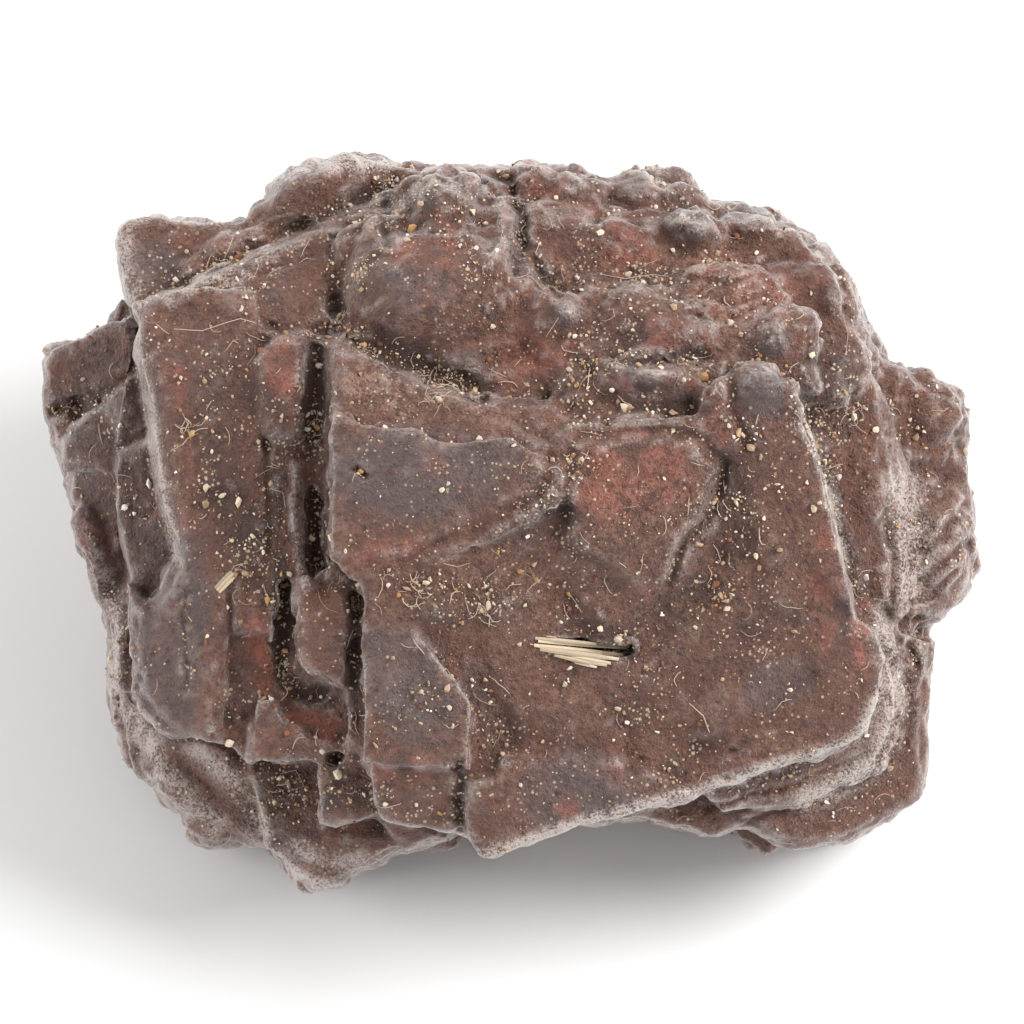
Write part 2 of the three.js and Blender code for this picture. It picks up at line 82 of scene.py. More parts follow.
def apply_modifier(piece: bpy.types.Object, kind: str, **settings: Any) -> None:
    """Adds a modifier to a piece, sets it up and applies it.

    Args:
        piece: The piece to change.
        kind: The modifier's type, such as "REMESH".
        settings: The modifier's own settings by name.
    """
    select_only(piece)
    modifier = piece.modifiers.new(kind.title(), kind)
    for name, value in settings.items():
        setattr(modifier, name, value)
    bpy.ops.object.modifier_apply(modifier=modifier.name)


def face_outward(piece: bpy.types.Object, merge: float = 0.0) -> None:
    """Turns the faces of a piece outward.

    Args:
        piece: The piece to change.
        merge: Vertices nearer to each other than this are joined first.
    """
    select_only(piece)
    bpy.ops.object.mode_set(mode="EDIT")
    bpy.ops.mesh.select_all(action="SELECT")
    if merge:
        bpy.ops.mesh.remove_doubles(threshold=merge)
    bpy.ops.mesh.normals_make_consistent(inside=False)
    bpy.ops.object.mode_set(mode="OBJECT")


class Surface:
    """The vertices of a mesh as numbers that a whole array at a time can work on."""

    def __init__(self, piece: bpy.types.Object) -> None:
        """Reads the mesh of a piece.

        Args:
            piece: The piece whose vertices are read, and later written.
        """
        self.mesh = piece.data
        self.read()

    def read(self) -> None:
        """Reads the vertices, their normals and the edges from the mesh."""
        mesh = self.mesh
        count = len(mesh.vertices)
        self.points = np.empty(count * 3, np.float32)
        mesh.vertices.foreach_get("co", self.points)
        self.points = self.points.reshape(-1, 3)
        ends = np.empty(len(mesh.edges) * 2, np.int32)
        mesh.edges.foreach_get("vertices", ends)
        self.ends = ends.reshape(-1, 2)
        self.neighbours = np.bincount(self.ends.ravel(), minlength=count).astype(np.float32)
        self.refresh_normals()

    def refresh_normals(self) -> None:
        """Reads the vertex normals again, after the vertices were written."""
        self.normals = np.empty(len(self.mesh.vertices) * 3, np.float32)
        self.mesh.vertex_normals.foreach_get("vector", self.normals)
        self.normals = self.normals.reshape(-1, 3)

    def write(self) -> None:
        """Writes the vertices back to the mesh and reads the new normals."""
        self.mesh.vertices.foreach_set("co", self.points.ravel())
        self.mesh.update()
        self.refresh_normals()

    def push(self, height: Array) -> None:
        """Moves each vertex along its normal.

        Args:
            height: How far each vertex moves out, in millimetres.
        """
        self.points += self.normals * height[:, None].astype(np.float32)
        self.write()

    def relaxed(self, values: Array, rounds: int) -> Array:
        """Averages values with those of the neighbouring vertices, again and again.

        Args:
            values: One number or one row for each vertex.
            rounds: How many times to average.

        Returns:
            The averaged values.
        """
        flat = values.reshape(len(values), -1).astype(np.float32)
        first, second = self.ends[:, 0], self.ends[:, 1]
        for _ in range(rounds):
            total = np.empty_like(flat)
            for column in range(flat.shape[1]):
                one = flat[:, column]
                total[:, column] = np.bincount(first, one[second], len(flat))
                total[:, column] += np.bincount(second, one[first], len(flat))
            flat = 0.5 * flat + 0.5 * total / self.neighbours[:, None]
        return flat.reshape(values.shape)

    def store(self, name: str, values: Array) -> None:
        """Keeps one number for each vertex as a named attribute of the mesh."""
        attribute = self.mesh.attributes.new(name, "FLOAT", "POINT")
        attribute.data.foreach_set("value", values.astype(np.float32).ravel())


class Noise:
    """Seeded noise in space."""

    def __init__(self, seed: int) -> None:
        """Makes the tables that the noise is read from.

        Args:
            seed: The noise is the same for the same seed.
        """
        random = np.random.default_rng(seed)
        self.table = np.tile(random.permutation(256), 3)
        slopes = random.normal(size=(256, 3))
        self.slopes = (slopes / np.linalg.norm(slopes, axis=1)[:, None]).astype(np.float32)
        self.jitter = random.random((256, 3)).astype(np.float32)

    def address(self, cell: Array) -> Array:
        """Gives each cell of the lattice its place in the tables."""
        part = cell & 255
        return self.table[self.table[self.table[part[:, 0]] + part[:, 1]] + part[:, 2]]

    def waves(self, points: Array, size: float) -> Array:
        """Rolling noise from about -1 to 1.

        Args:
            points: The places to read it at.
            size: The distance from one wave to the next.

        Returns:
            One value for each place.
        """
        places = points / size
        cell = np.floor(places).astype(np.int32)
        inside = (places - cell).astype(np.float32)
        ease = inside**3 * (inside * (inside * 6 - 15) + 10)
        total = np.zeros(len(points), np.float32)
        for corner in itertools.product((0, 1), repeat=3):
            offset = np.array(corner, np.int32)
            slope = self.slopes[self.address(cell + offset)]
            share = np.where(offset == 1, ease, 1 - ease).prod(axis=1)
            total += share * ((inside - offset) * slope).sum(axis=1)
        return total * 1.5

    def grain(self, points: Array, size: float, octaves: int = 4, rough: float = 0.5) -> Array:
        """Rolling noise with finer noise on top.

        Args:
            points: The places to read it at.
            size: The distance between the coarsest waves.
            octaves: How many layers of noise there are, each half the size of the last.
            rough: How strong each layer is beside the last.

        Returns:
            One value for each place, from about -1 to 1.
        """
        total, weight = np.zeros(len(points), np.float32), 0.0
        for level in range(octaves):
            share = rough**level
            total += share * self.waves(points + 17.3 * level, size / 2**level)
            weight += share
        return total / weight

    def cells(self, points: Array, size: float) -> tuple[Array, Array]:
        """Distances to scattered seeds, as a share of the distance between them.

        Args:
            points: The places to read them at.
            size: The mean distance from seed to seed.

        Returns:
            The distances to the nearest seed and to the second nearest.
        """
        places = (points / size).astype(np.float32)
        cell = np.floor(places).astype(np.int32)
        nearest = np.full(len(points), 9, np.float32)
        second = nearest.copy()
        for corner in itertools.product((-1, 0, 1), repeat=3):
            home = cell + np.array(corner, np.int32)
            seed = home + self.jitter[self.address(home)]
            distance = np.sqrt(((places - seed) ** 2).sum(axis=1))
            second = np.minimum(second, np.maximum(nearest, distance))
            nearest = np.minimum(nearest, distance)
        return nearest, second


# ---------------------------------------------------------------------------------------------------------
# Shader writing
# ---------------------------------------------------------------------------------------------------------


class Value:
    """A shader number that can be written in sums: each operator adds its Math node."""

    def __init__(self, paint: "Paint", socket: bpy.types.NodeSocket) -> None:
        """Wraps a socket.

        Args:
            paint: The material that the socket's node belongs to.
            socket: An output socket that holds a number.
        """
        self.paint = paint
        self.socket = socket

    def _with(self, operation: str, first: Any, second: Any) -> "Value":
        """Adds the Math node of one operation on two values."""
        return self.paint.maths(operation, first, second)

    def __add__(self, other: Any) -> "Value":
        """Adds."""
        return self._with("ADD", self, other)

    __radd__ = __add__

    def __mul__(self, other: Any) -> "Value":
        """Multiplies."""
        return self._with("MULTIPLY", self, other)

    __rmul__ = __mul__

    def __sub__(self, other: Any) -> "Value":
        """Subtracts."""
        return self._with("SUBTRACT", self, other)

    def __rsub__(self, other: Any) -> "Value":
        """Subtracts from a number."""
        return self._with("SUBTRACT", other, self)

    def step(self, low: float, high: float) -> "Value":
        """Runs from 0 at low to 1 at high along a smooth curve."""
        node = self.paint.node(
            "ShaderNodeMapRange",
            {"interpolation_type": "SMOOTHSTEP"},
            {"Value": self, "From Min": low, "From Max": high},
        )
        return Value(self.paint, node.outputs["Result"])

    def clamped(self) -> "Value":
        """Keeps the value from 0 to 1."""
        node = self.paint.node("ShaderNodeClamp", {}, {"Value": self})
        return Value(self.paint, node.outputs["Result"])


class Paint:
    """A material written by a program."""

    MIX_INPUTS = (0, 6, 7)  # The sockets of a Mix node that hold its factor and its two colours.
    MIX_OUTPUT = 2  # The socket that gives the mixed colour.

    def __init__(self, name: str) -> None:
        """Starts a material that holds only a Principled shader.

        Args:
            name: The material's name.
        """
        self.material = bpy.data.materials.new(name)
        self.material.use_nodes = True
        self.tree = self.material.node_tree
        self.shader = self.tree.nodes["Principled BSDF"]

    def node(self, kind: str, settings: dict[str, Any], inputs: dict[Any, Any]) -> bpy.types.Node:
        """Adds a node.

        Args:
            kind: The node's type.
            settings: The node's own settings, set before its sockets.
            inputs: What each socket gets: a number, a colour, a Value or another socket.

        Returns:
            The new node.
        """
        node = self.tree.nodes.new(kind)
        for name, value in settings.items():
            setattr(node, name, value)
        for name, value in inputs.items():
            self.feed(node.inputs[name], value)
        return node

    def feed(self, socket: bpy.types.NodeSocket, value: Any) -> None:
        """Sets a socket to a number or colour, or links it to what it is given."""
        if isinstance(value, Value):
            value = value.socket
        if isinstance(value, bpy.types.NodeSocket):
            self.tree.links.new(value, socket)
        else:
            socket.default_value = value

    def maths(self, operation: str, first: Any, second: Any = 0.0) -> Value:
        """Adds a Math node on two values."""
        node = self.node("ShaderNodeMath", {"operation": operation}, {0: first, 1: second})
        return Value(self, node.outputs[0])

    def place(self) -> bpy.types.NodeSocket:
        """The place on the piece, in metres."""
        return self.node("ShaderNodeTexCoord", {}, {}).outputs["Object"]

    def attribute(self, name: str) -> Value:
        """A number that the mesh keeps for each vertex."""
        node = self.node("ShaderNodeAttribute", {"attribute_name": name}, {})
        return Value(self, node.outputs["Fac"])

    def noise(self, size: float, detail: float = 3.0, rough: float = 0.5) -> Value:
        """Rolling noise from 0 to 1.

        Args:
            size: The distance from one wave to the next, in millimetres.
            detail: How many finer layers lie on it.
            rough: How strong each finer layer is.

        Returns:
            The noise.
        """
        inputs = {"Vector": self.place(), "Scale": 1 / (size * MM), "Detail": detail, "Roughness": rough}
        return Value(self, self.node("ShaderNodeTexNoise", {}, inputs).outputs["Fac"])

    def cells(self, size: float) -> bpy.types.Node:
        """A cell pattern whose cells are size millimetres apart."""
        return self.node("ShaderNodeTexVoronoi", {}, {"Vector": self.place(), "Scale": 1 / (size * MM)})

    def dots(self, cells: bpy.types.Node, core: float, rim: float) -> Value:
        """Round dots, one in each cell of a pattern.

        Args:
            cells: The cell pattern.
            core: Up to which distance a dot is solid, as a share of a cell.
            rim: At which distance it has faded out.

        Returns:
            The dots, from 0 between them to 1 on them.
        """
        return 1 - Value(self, cells.outputs["Distance"]).step(core, rim)

    def chance(self, cells: bpy.types.Node, channel: int) -> Value:
        """A number from 0 to 1 that each cell of a pattern has for itself."""
        parts = self.node("ShaderNodeSeparateColor", {}, {0: cells.outputs["Color"]})
        return Value(self, parts.outputs[channel])

    def mix(self, share: Any, first: Any, second: Any, blend: str = "MIX") -> bpy.types.NodeSocket:
        """Mixes two colours.

        Args:
            share: How much of the second colour shows.
            first: The colour below.
            second: The colour on top.
            blend: How they are mixed.

        Returns:
            The mixed colour.
        """
        settings = {"data_type": "RGBA", "blend_type": blend}
        node = self.node("ShaderNodeMix", settings, dict(zip(self.MIX_INPUTS, (share, first, second))))
        return node.outputs[self.MIX_OUTPUT]

    def bump(self, height: Value) -> bpy.types.NodeSocket:
        """Roughens the surface without moving it, by a height in millimetres, and gives the normal."""
        inputs = {"Height": height, "Distance": MM, "Strength": 1.0}
        return self.node("ShaderNodeBump", {}, inputs).outputs["Normal"]

    def finish(self, **sockets: Any) -> bpy.types.Material:
        """Feeds the shader's own sockets, with _ for a space in their names, and gives the material."""
        for name, value in sockets.items():
            self.feed(self.shader.inputs[name.replace("_", " ")], value)
        return self.material


# ---------------------------------------------------------------------------------------------------------
# The stone
# ---------------------------------------------------------------------------------------------------------


@dataclass(frozen=True)
class FaceFrame:
    """The stone's own axes: u right, v up the broad face and w out of it, in millimetres."""

    tip: float = math.radians(25)
    origin: tuple[float, float, float] = (-0.05, -0.672, 13.7)

    def to_world(self) -> Matrix:
        """Takes a place in the face frame to metres in the world."""
        shift = Matrix.Translation(Vector(self.origin) * MM)
        return shift @ Matrix.Rotation(self.tip, 4, "X") @ Matrix.Scale(MM, 4)

    def axis(self, name: str) -> Vector:
        """Gives the direction of u, v or w in the world."""
        column = "uvw".index(name)
        return self.to_world().to_3x3().col[column].normalized()

    def point(self, u: float, v: float, w: float) -> Vector:
        """Gives a place of the face frame in the world."""
        return self.to_world() @ Vector((u, v, w))


@dataclass(frozen=True)
class Spot:
    """An oval area of the face, in millimetres, that fades out towards its rim."""

    at: tuple[float, float]
    radii: tuple[float, float]
    turn: float = 0.0
    strength: float = 1.0

    def inside(self, points: Array) -> Array:
        """How far inside the rim each point lies, from 1 in the middle over 0 at the rim to below 0."""
        angle = math.radians(self.turn)
        du, dv = points[:, 0] - self.at[0], points[:, 1] - self.at[1]
        along = (du * math.cos(angle) + dv * math.sin(angle)) / self.radii[0]
        across = (dv * math.cos(angle) - du * math.sin(angle)) / self.radii[1]
        return 1 - along**2 - across**2

    def share(self, points: Array) -> Array:
        """How much of the spot lies on each point, from 0 at the rim to its strength in the middle."""
        return self.strength * smoothstep(0, 0.7, self.inside(points))


@dataclass(frozen=True)
class Stroke:
    """A groove that follows a path over the face, in millimetres; a negative depth makes it a ridge."""

    path: tuple[tuple[float, float], ...]
    width: float = 0.3
    depth: float = 0.3

    def share(self, points: Array) -> Array:
        """How near each point is to the path: 1 on it, fading out beyond its width."""
        path = np.array(self.path, np.float32)
        flat = points[:, :2]
        reach = 3 * self.width
        low, high = path.min(axis=0) - reach, path.max(axis=0) + reach
        close = ((flat > low) & (flat < high)).all(axis=1)
        near = flat[close]
        best = np.full(len(near), 1e9, np.float32)
        for start, end in zip(path[:-1], path[1:]):
            run = end - start
            share = np.clip(((near - start) @ run) / max(float(run @ run), 1e-9), 0, 1)
            gap = near - (start + share[:, None] * run)
            best = np.minimum(best, (gap**2).sum(axis=1))
        result = np.zeros(len(points), np.float32)
        result[close] = np.exp(-best / self.width**2)
        return result


@dataclass(frozen=True)
class Lump(Spot):
    """A rounded lump; its strength is its height in millimetres."""

    def share(self, points: Array) -> Array:
        """How high the lump stands at each point."""
        return self.strength * np.clip(self.inside(points), 0, 1) ** 1.6


def spots_on(points: Array, spots: Iterable[Spot | Stroke]) -> Array:
    """Adds up the spots that lie on each point."""
    total = np.zeros(len(points), np.float32)
    for spot in spots:
        total += spot.share(points)
    return total


@dataclass(frozen=True)
class Relief:
    """What time and growth left on the broad face.

    Worn places are rounded off and calm ones kept smooth. Silt is given with the level that it fills a slot
    up to, and a lean with the height below which a side leans out.
    """

    grooves: tuple[Stroke, ...] = (
        # The gap between the red block and the middle slab, and the spindle-shaped slot below it.
        Stroke(((-9.6, 9.3), (-9.5, 6.5), (-9.8, 3.4)), 0.5, 0.3),
        Stroke(((-9.6, 3.2), (-9.4, 1.0), (-9.6, -1.6), (-9.3, -3.4)), 0.45, 0.2),
        Stroke(((-10.6, 2.6), (-10.5, -0.5), (-10.1, -3.2)), 0.3, -0.3),
        # The hooked groove.
        Stroke(
            ((-11.4, 1.0), (-11.5, -2.5), (-11.2, -6.4), (-10.9, -7.9), (-9.9, -8.7), (-8.7, -8.8)),
            0.4, 0.2,
        ),
        # The crack down the inner edge of the lower block.
        Stroke(((-7.7, -3.9), (-7.5, -7.5), (-7.6, -11.4)), 0.3, 0.1),
        # The dark hollow that runs from the corner of the middle slab under the dome.
        Stroke(((-8.6, 9.8), (-6.8, 8.9), (-4.6, 7.9), (-2.7, 7.2), (-1.2, 6.6)), 0.6, 0.85),
        Stroke(((-8.7, 9.8), (-8.6, 12.2), (-7.6, 14.6)), 0.5, 0.45),
        # Cracks in the lower left block.
        Stroke(((-16.1, -3.4), (-16.2, -6.0), (-16.0, -8.2)), 0.12, 0.14),
        Stroke(((-13.7, -2.6), (-13.9, -5.6), (-13.8, -8.4), (-14.0, -10.2)), 0.12, 0.16),
        # The lower rim of the middle slab, and the edge that comes down from its point.
        Stroke(((-9.0, -1.9), (-7.3, -2.4), (-4.9, -1.8), (-2.2, -0.6), (0.6, 0.9)), 0.35, 0.3),
        Stroke(((0.6, 4.9), (2.2, 3.8), (2.0, 2.2), (0.9, 0.8)), 0.3, 0.25),
        Stroke(((-7.6, 2.6), (-7.1, 2.3)), 0.16, 0.4),
        # The ledge between the back slab and the tall left crystal, and the fibrous grain beside it.
        Stroke(((-17.0, 11.6), (-14.6, 13.0), (-12.0, 14.2), (-9.2, 15.4), (-6.5, 16.6)), 0.3, 0.4),
        Stroke(((-16.8, 10.9), (-14.2, 12.2), (-11.4, 13.4), (-8.8, 14.4)), 0.35, -0.3),
        Stroke(((-13.8, 14.4), (-11.2, 15.6)), 0.1, 0.12),
        Stroke(((-12.6, 14.4), (-9.8, 15.8)), 0.1, 0.12),
        Stroke(((-11.4, 13.2), (-8.6, 14.2)), 0.12, 0.12),
        Stroke(((-12.9, 12.2), (-10.1, 13.2)), 0.12, 0.12),
        Stroke(((-12.6, 8.4), (-11.6, 9.6), (-10.2, 9.9), (-9.2, 9.6)), 0.3, 0.35),
        # Around the dome and the lumps on its right.
        Stroke(((-5.6, 17.2), (-6.2, 15.6), (-6.0, 14.0)), 0.3, 0.3),
        Stroke(((-1.6, 17.4), (-0.4, 16.0), (-0.2, 14.0), (-0.9, 12.8)), 0.35, -0.4),
        Stroke(((-0.2, 17.4), (0.6, 15.8), (0.7, 14.0), (0.6, 12.4)), 0.3, 0.5),
        Stroke(((0.8, 14.2), (1.6, 12.4), (2.6, 11.2)), 0.25, 0.3),
        # Wrinkles of the pink slope.
        Stroke(((9.0, 12.2), (10.4, 11.8), (12.0, 12.2)), 0.15, 0.22),
        Stroke(((9.6, 11.2), (11.2, 10.9), (13.0, 11.4)), 0.15, 0.2),
        Stroke(((10.6, 13.2), (12.2, 12.8), (13.8, 13.2)), 0.15, 0.22),
        Stroke(((8.9, 10.4), (10.8, 10.0), (12.2, 10.6)), 0.15, 0.18),
        Stroke(((5.2, 8.2), (7.4, 8.0), (9.8, 8.2)), 0.3, 0.4),
        Stroke(((11.0, 7.6), (11.2, 5.6), (11.8, 3.6)), 0.3, 0.25),
        # The right-hand lobe: its seams, pores and the groove that parts it from the great face.
        Stroke(((14.9, 5.0), (15.8, 2.4), (16.6, -0.8), (17.3, -3.4)), 0.22, 0.3),
        Stroke(((22.9, 0.9), (21.8, -0.6), (20.6, -1.6)), 0.2, 0.28),
        Stroke(((22.9, -1.0), (21.6, -2.2), (20.2, -3.2)), 0.2, 0.25),
        Stroke(((22.4, -2.6), (21.2, -3.7), (20.0, -4.2)), 0.18, 0.25),
        Stroke(((21.9, 2.2), (20.9, 0.9), (19.6, -0.6)), 0.18, 0.22),
        Stroke(((19.0, -0.2), (19.4, -2.0), (19.2, -3.8)), 0.22, 0.3),
        Stroke(((20.5, 0.1), (20.8, 0.5)), 0.14, 0.5),
        Stroke(((18.9, -1.1), (19.0, -1.2)), 0.12, 0.3),
        Stroke(((18.8, -4.3), (19.0, -4.8)), 0.28, 0.5),
        Stroke(((20.3, -5.0), (20.6, -4.9)), 0.16, 0.35),
        Stroke(((20.2, -6.2), (20.6, -7.2)), 0.2, 0.4),
        Stroke(((18.6, -5.6), (19.4, -7.6), (19.6, -9.6), (18.6, -12.2)), 0.16, 0.25),
        Stroke(((19.6, -5.8), (20.2, -8.4), (19.9, -11.2)), 0.14, 0.22),
        Stroke(((10.0, -14.4), (14.4, -13.2), (18.0, -11.6)), 0.16, 0.22),
        Stroke(((11.6, -15.0), (15.6, -14.0), (18.8, -12.4)), 0.14, 0.2),
        # The outline of the red plate.
        Stroke(((3.4, 4.3), (6.5, 4.7), (9.1, 4.4), (10.7, 3.1)), 0.25, 0.25),
        Stroke(((10.8, 2.6), (10.1, 0.6), (8.8, -1.0), (8.0, -3.0)), 0.3, 0.35),
        Stroke(
            ((3.5, 3.7), (6.5, 4.0), (8.9, 3.7), (10.1, 2.5), (9.5, 0.8), (8.2, -0.8), (7.5, -2.7)),
            0.3, -0.2,
        ),
        Stroke(((3.1, 3.4), (3.0, 1.2), (2.5, -0.7)), 0.25, 0.2),
        # Shallow hollows in the great face.
        Stroke(((2.6, -3.4), (4.0, -5.2), (6.4, -5.9)), 0.9, 0.45),
        Stroke(((10.6, 2.6), (11.0, -0.6), (9.6, -3.6), (7.4, -5.0)), 1.0, 0.45),
        Stroke(((2.6, 0.6), (1.6, -1.8), (-1.0, -3.0)), 0.8, 0.35),
        Stroke(((6.2, -9.0), (9.4, -11.2)), 0.8, 0.3),
        Stroke(((-1.4, -5.4), (-1.2, -8.2), (0.2, -11.0)), 0.6, 0.2),
        Stroke(((4.6, -8.6), (6.0, -10.4), (6.2, -12.0)), 0.5, 0.3),
        Stroke(((14.8, -7.4), (13.2, -9.6), (9.6, -11.4)), 0.6, 0.25),
        # The raised rim of the great face, the step at its lower left corner, and two pores.
        Stroke(
            ((-1.5, -16.6), (3.7, -14.8), (7.8, -13.7), (12.4, -12.3), (17.2, -10.7), (18.5, -8.3)),
            0.25, -0.2,
        ),
        Stroke(((-2.4, -12.0), (-2.4, -15.4)), 0.25, 0.35),
        Stroke(((11.1, -11.4), (11.3, -11.4)), 0.14, 0.3),
        Stroke(((10.7, -12.8), (11.0, -12.8)), 0.14, 0.3),
    )
    lumps: tuple[Spot, ...] = (
        Lump((4.4, -4.6), (1.7, 1.1), -50, 0.55),
        Lump((9.6, -9.6), (3.4, 1.8), 20, 0.4),
        Lump((1.6, -9.4), (2.8, 1.6), -10, 0.35),
        Lump((13.4, -2.0), (1.6, 3.4), 8, 0.35),
        Lump((12.6, -7.0), (1.8, 1.4), 0, 0.3),
        Lump((-3.6, -4.2), (2.0, 1.0), 0, 0.35),
        Lump((-5.4, -8.6), (1.3, 2.6), 10, 0.3),
        Lump((-15.6, -7.4), (1.6, 2.6), 0, 0.35),
        Lump((-14.6, 6.2), (1.6, 3.6), 0, 0.3),
        Lump((-3.4, 2.4), (3.2, 1.6), 5, 0.3),
        Lump((-10.2, 17.2), (2.4, 1.2), 20, 0.7),
        Lump((-2.9, 15.7), (2.8, 2.1), 0, 1.0),
        Lump((1.4, 17.4), (1.6, 0.9), 0, 0.6),
        Lump((3.1, 17.1), (1.1, 1.0), 0, 0.5),
        Lump((7.2, 16.6), (2.0, 1.2), 0, 0.7),
        Lump((9.1, 14.9), (1.4, 0.95), -20, 0.9),
        Lump((12.6, 15.0), (1.9, 1.0), -15, 0.7),
        Lump((15.3, 13.6), (1.2, 0.9), -30, 0.6),
        Lump((16.3, 11.2), (0.9, 1.4), 0, 0.6),
        Lump((2.2, 14.6), (0.65, 0.6), 0, 0.55),
        Lump((1.1, 14.1), (0.35, 0.35), 0, 0.35),
        Lump((1.9, 12.4), (0.6, 0.55), 0, 0.4),
        Lump((2.9, 10.2), (1.1, 0.8), 20, 0.6),
        Lump((8.2, 9.2), (2.6, 1.3), 0, 0.7),
        Lump((7.0, 7.3), (1.9, 0.8), 0, 0.7),
        Lump((13.2, 9.1), (0.9, 1.2), 0, 0.7),
        Lump((12.6, 6.4), (1.5, 1.4), 0, 0.5),
        Lump((-2.4, 8.0), (1.6, 0.8), -20, 0.5),
    )
    worn: tuple[Spot, ...] = (
        Spot((6.4, -2.6), (3.0, 2.2), 10, 0.6),
        Spot((-5.6, -2.2), (4.4, 1.3), 10, 0.7),
        Spot((-9.2, -3.2), (1.6, 1.4), 0, 0.6),
        Spot((-3.4, -9.2), (1.6, 2.2), 0, 0.5),
        Spot((3.4, -12.0), (4.6, 1.0), -8, 0.7),
        Spot((-3.6, 13.2), (4.4, 4.4), 0, 0.6),
        Spot((-15.4, -3.4), (3.0, 1.8), 0, 0.8),
    )
    calm: tuple[Spot, ...] = (
        Spot((-17.8, 3.6), (2.6, 9.5), -5, 0.9),
        Spot((-18.8, 13.0), (1.9, 3.2), 0, 0.8),
        Spot((-19.2, -1.0), (2.0, 6.0), 0, 0.5),
        Spot((15.6, 1.0), (1.6, 7.0), 12, 0.6),
    )
    silt: tuple[tuple[Spot, float], ...] = (
        (Spot((-9.7, 6.4), (1.3, 3.6)), 8.15),
        (Spot((-9.7, -0.4), (1.2, 3.8)), 7.8),
        (Spot((-11.1, -5.4), (1.1, 4.2)), 7.3),
        (Spot((-9.9, -8.5), (2.2, 1.2)), 7.25),
        (Spot((-8.5, -11.8), (1.2, 1.2)), 7.1),
    )
    leans: tuple[tuple[Spot, float], ...] = (
        (Spot((-17.6, 4.0), (1.9, 8.6), -5, 0.26), 8.3),
        (Spot((-18.8, 13.0), (1.6, 3.0), 0, 0.2), 4.2),
    )

    def depth(self, points: Array) -> Array:
        """How deep the face is cut at each point."""
        total = np.zeros(len(points), np.float32)
        for groove in self.grooves:
            total += groove.depth * groove.share(points)
        return total


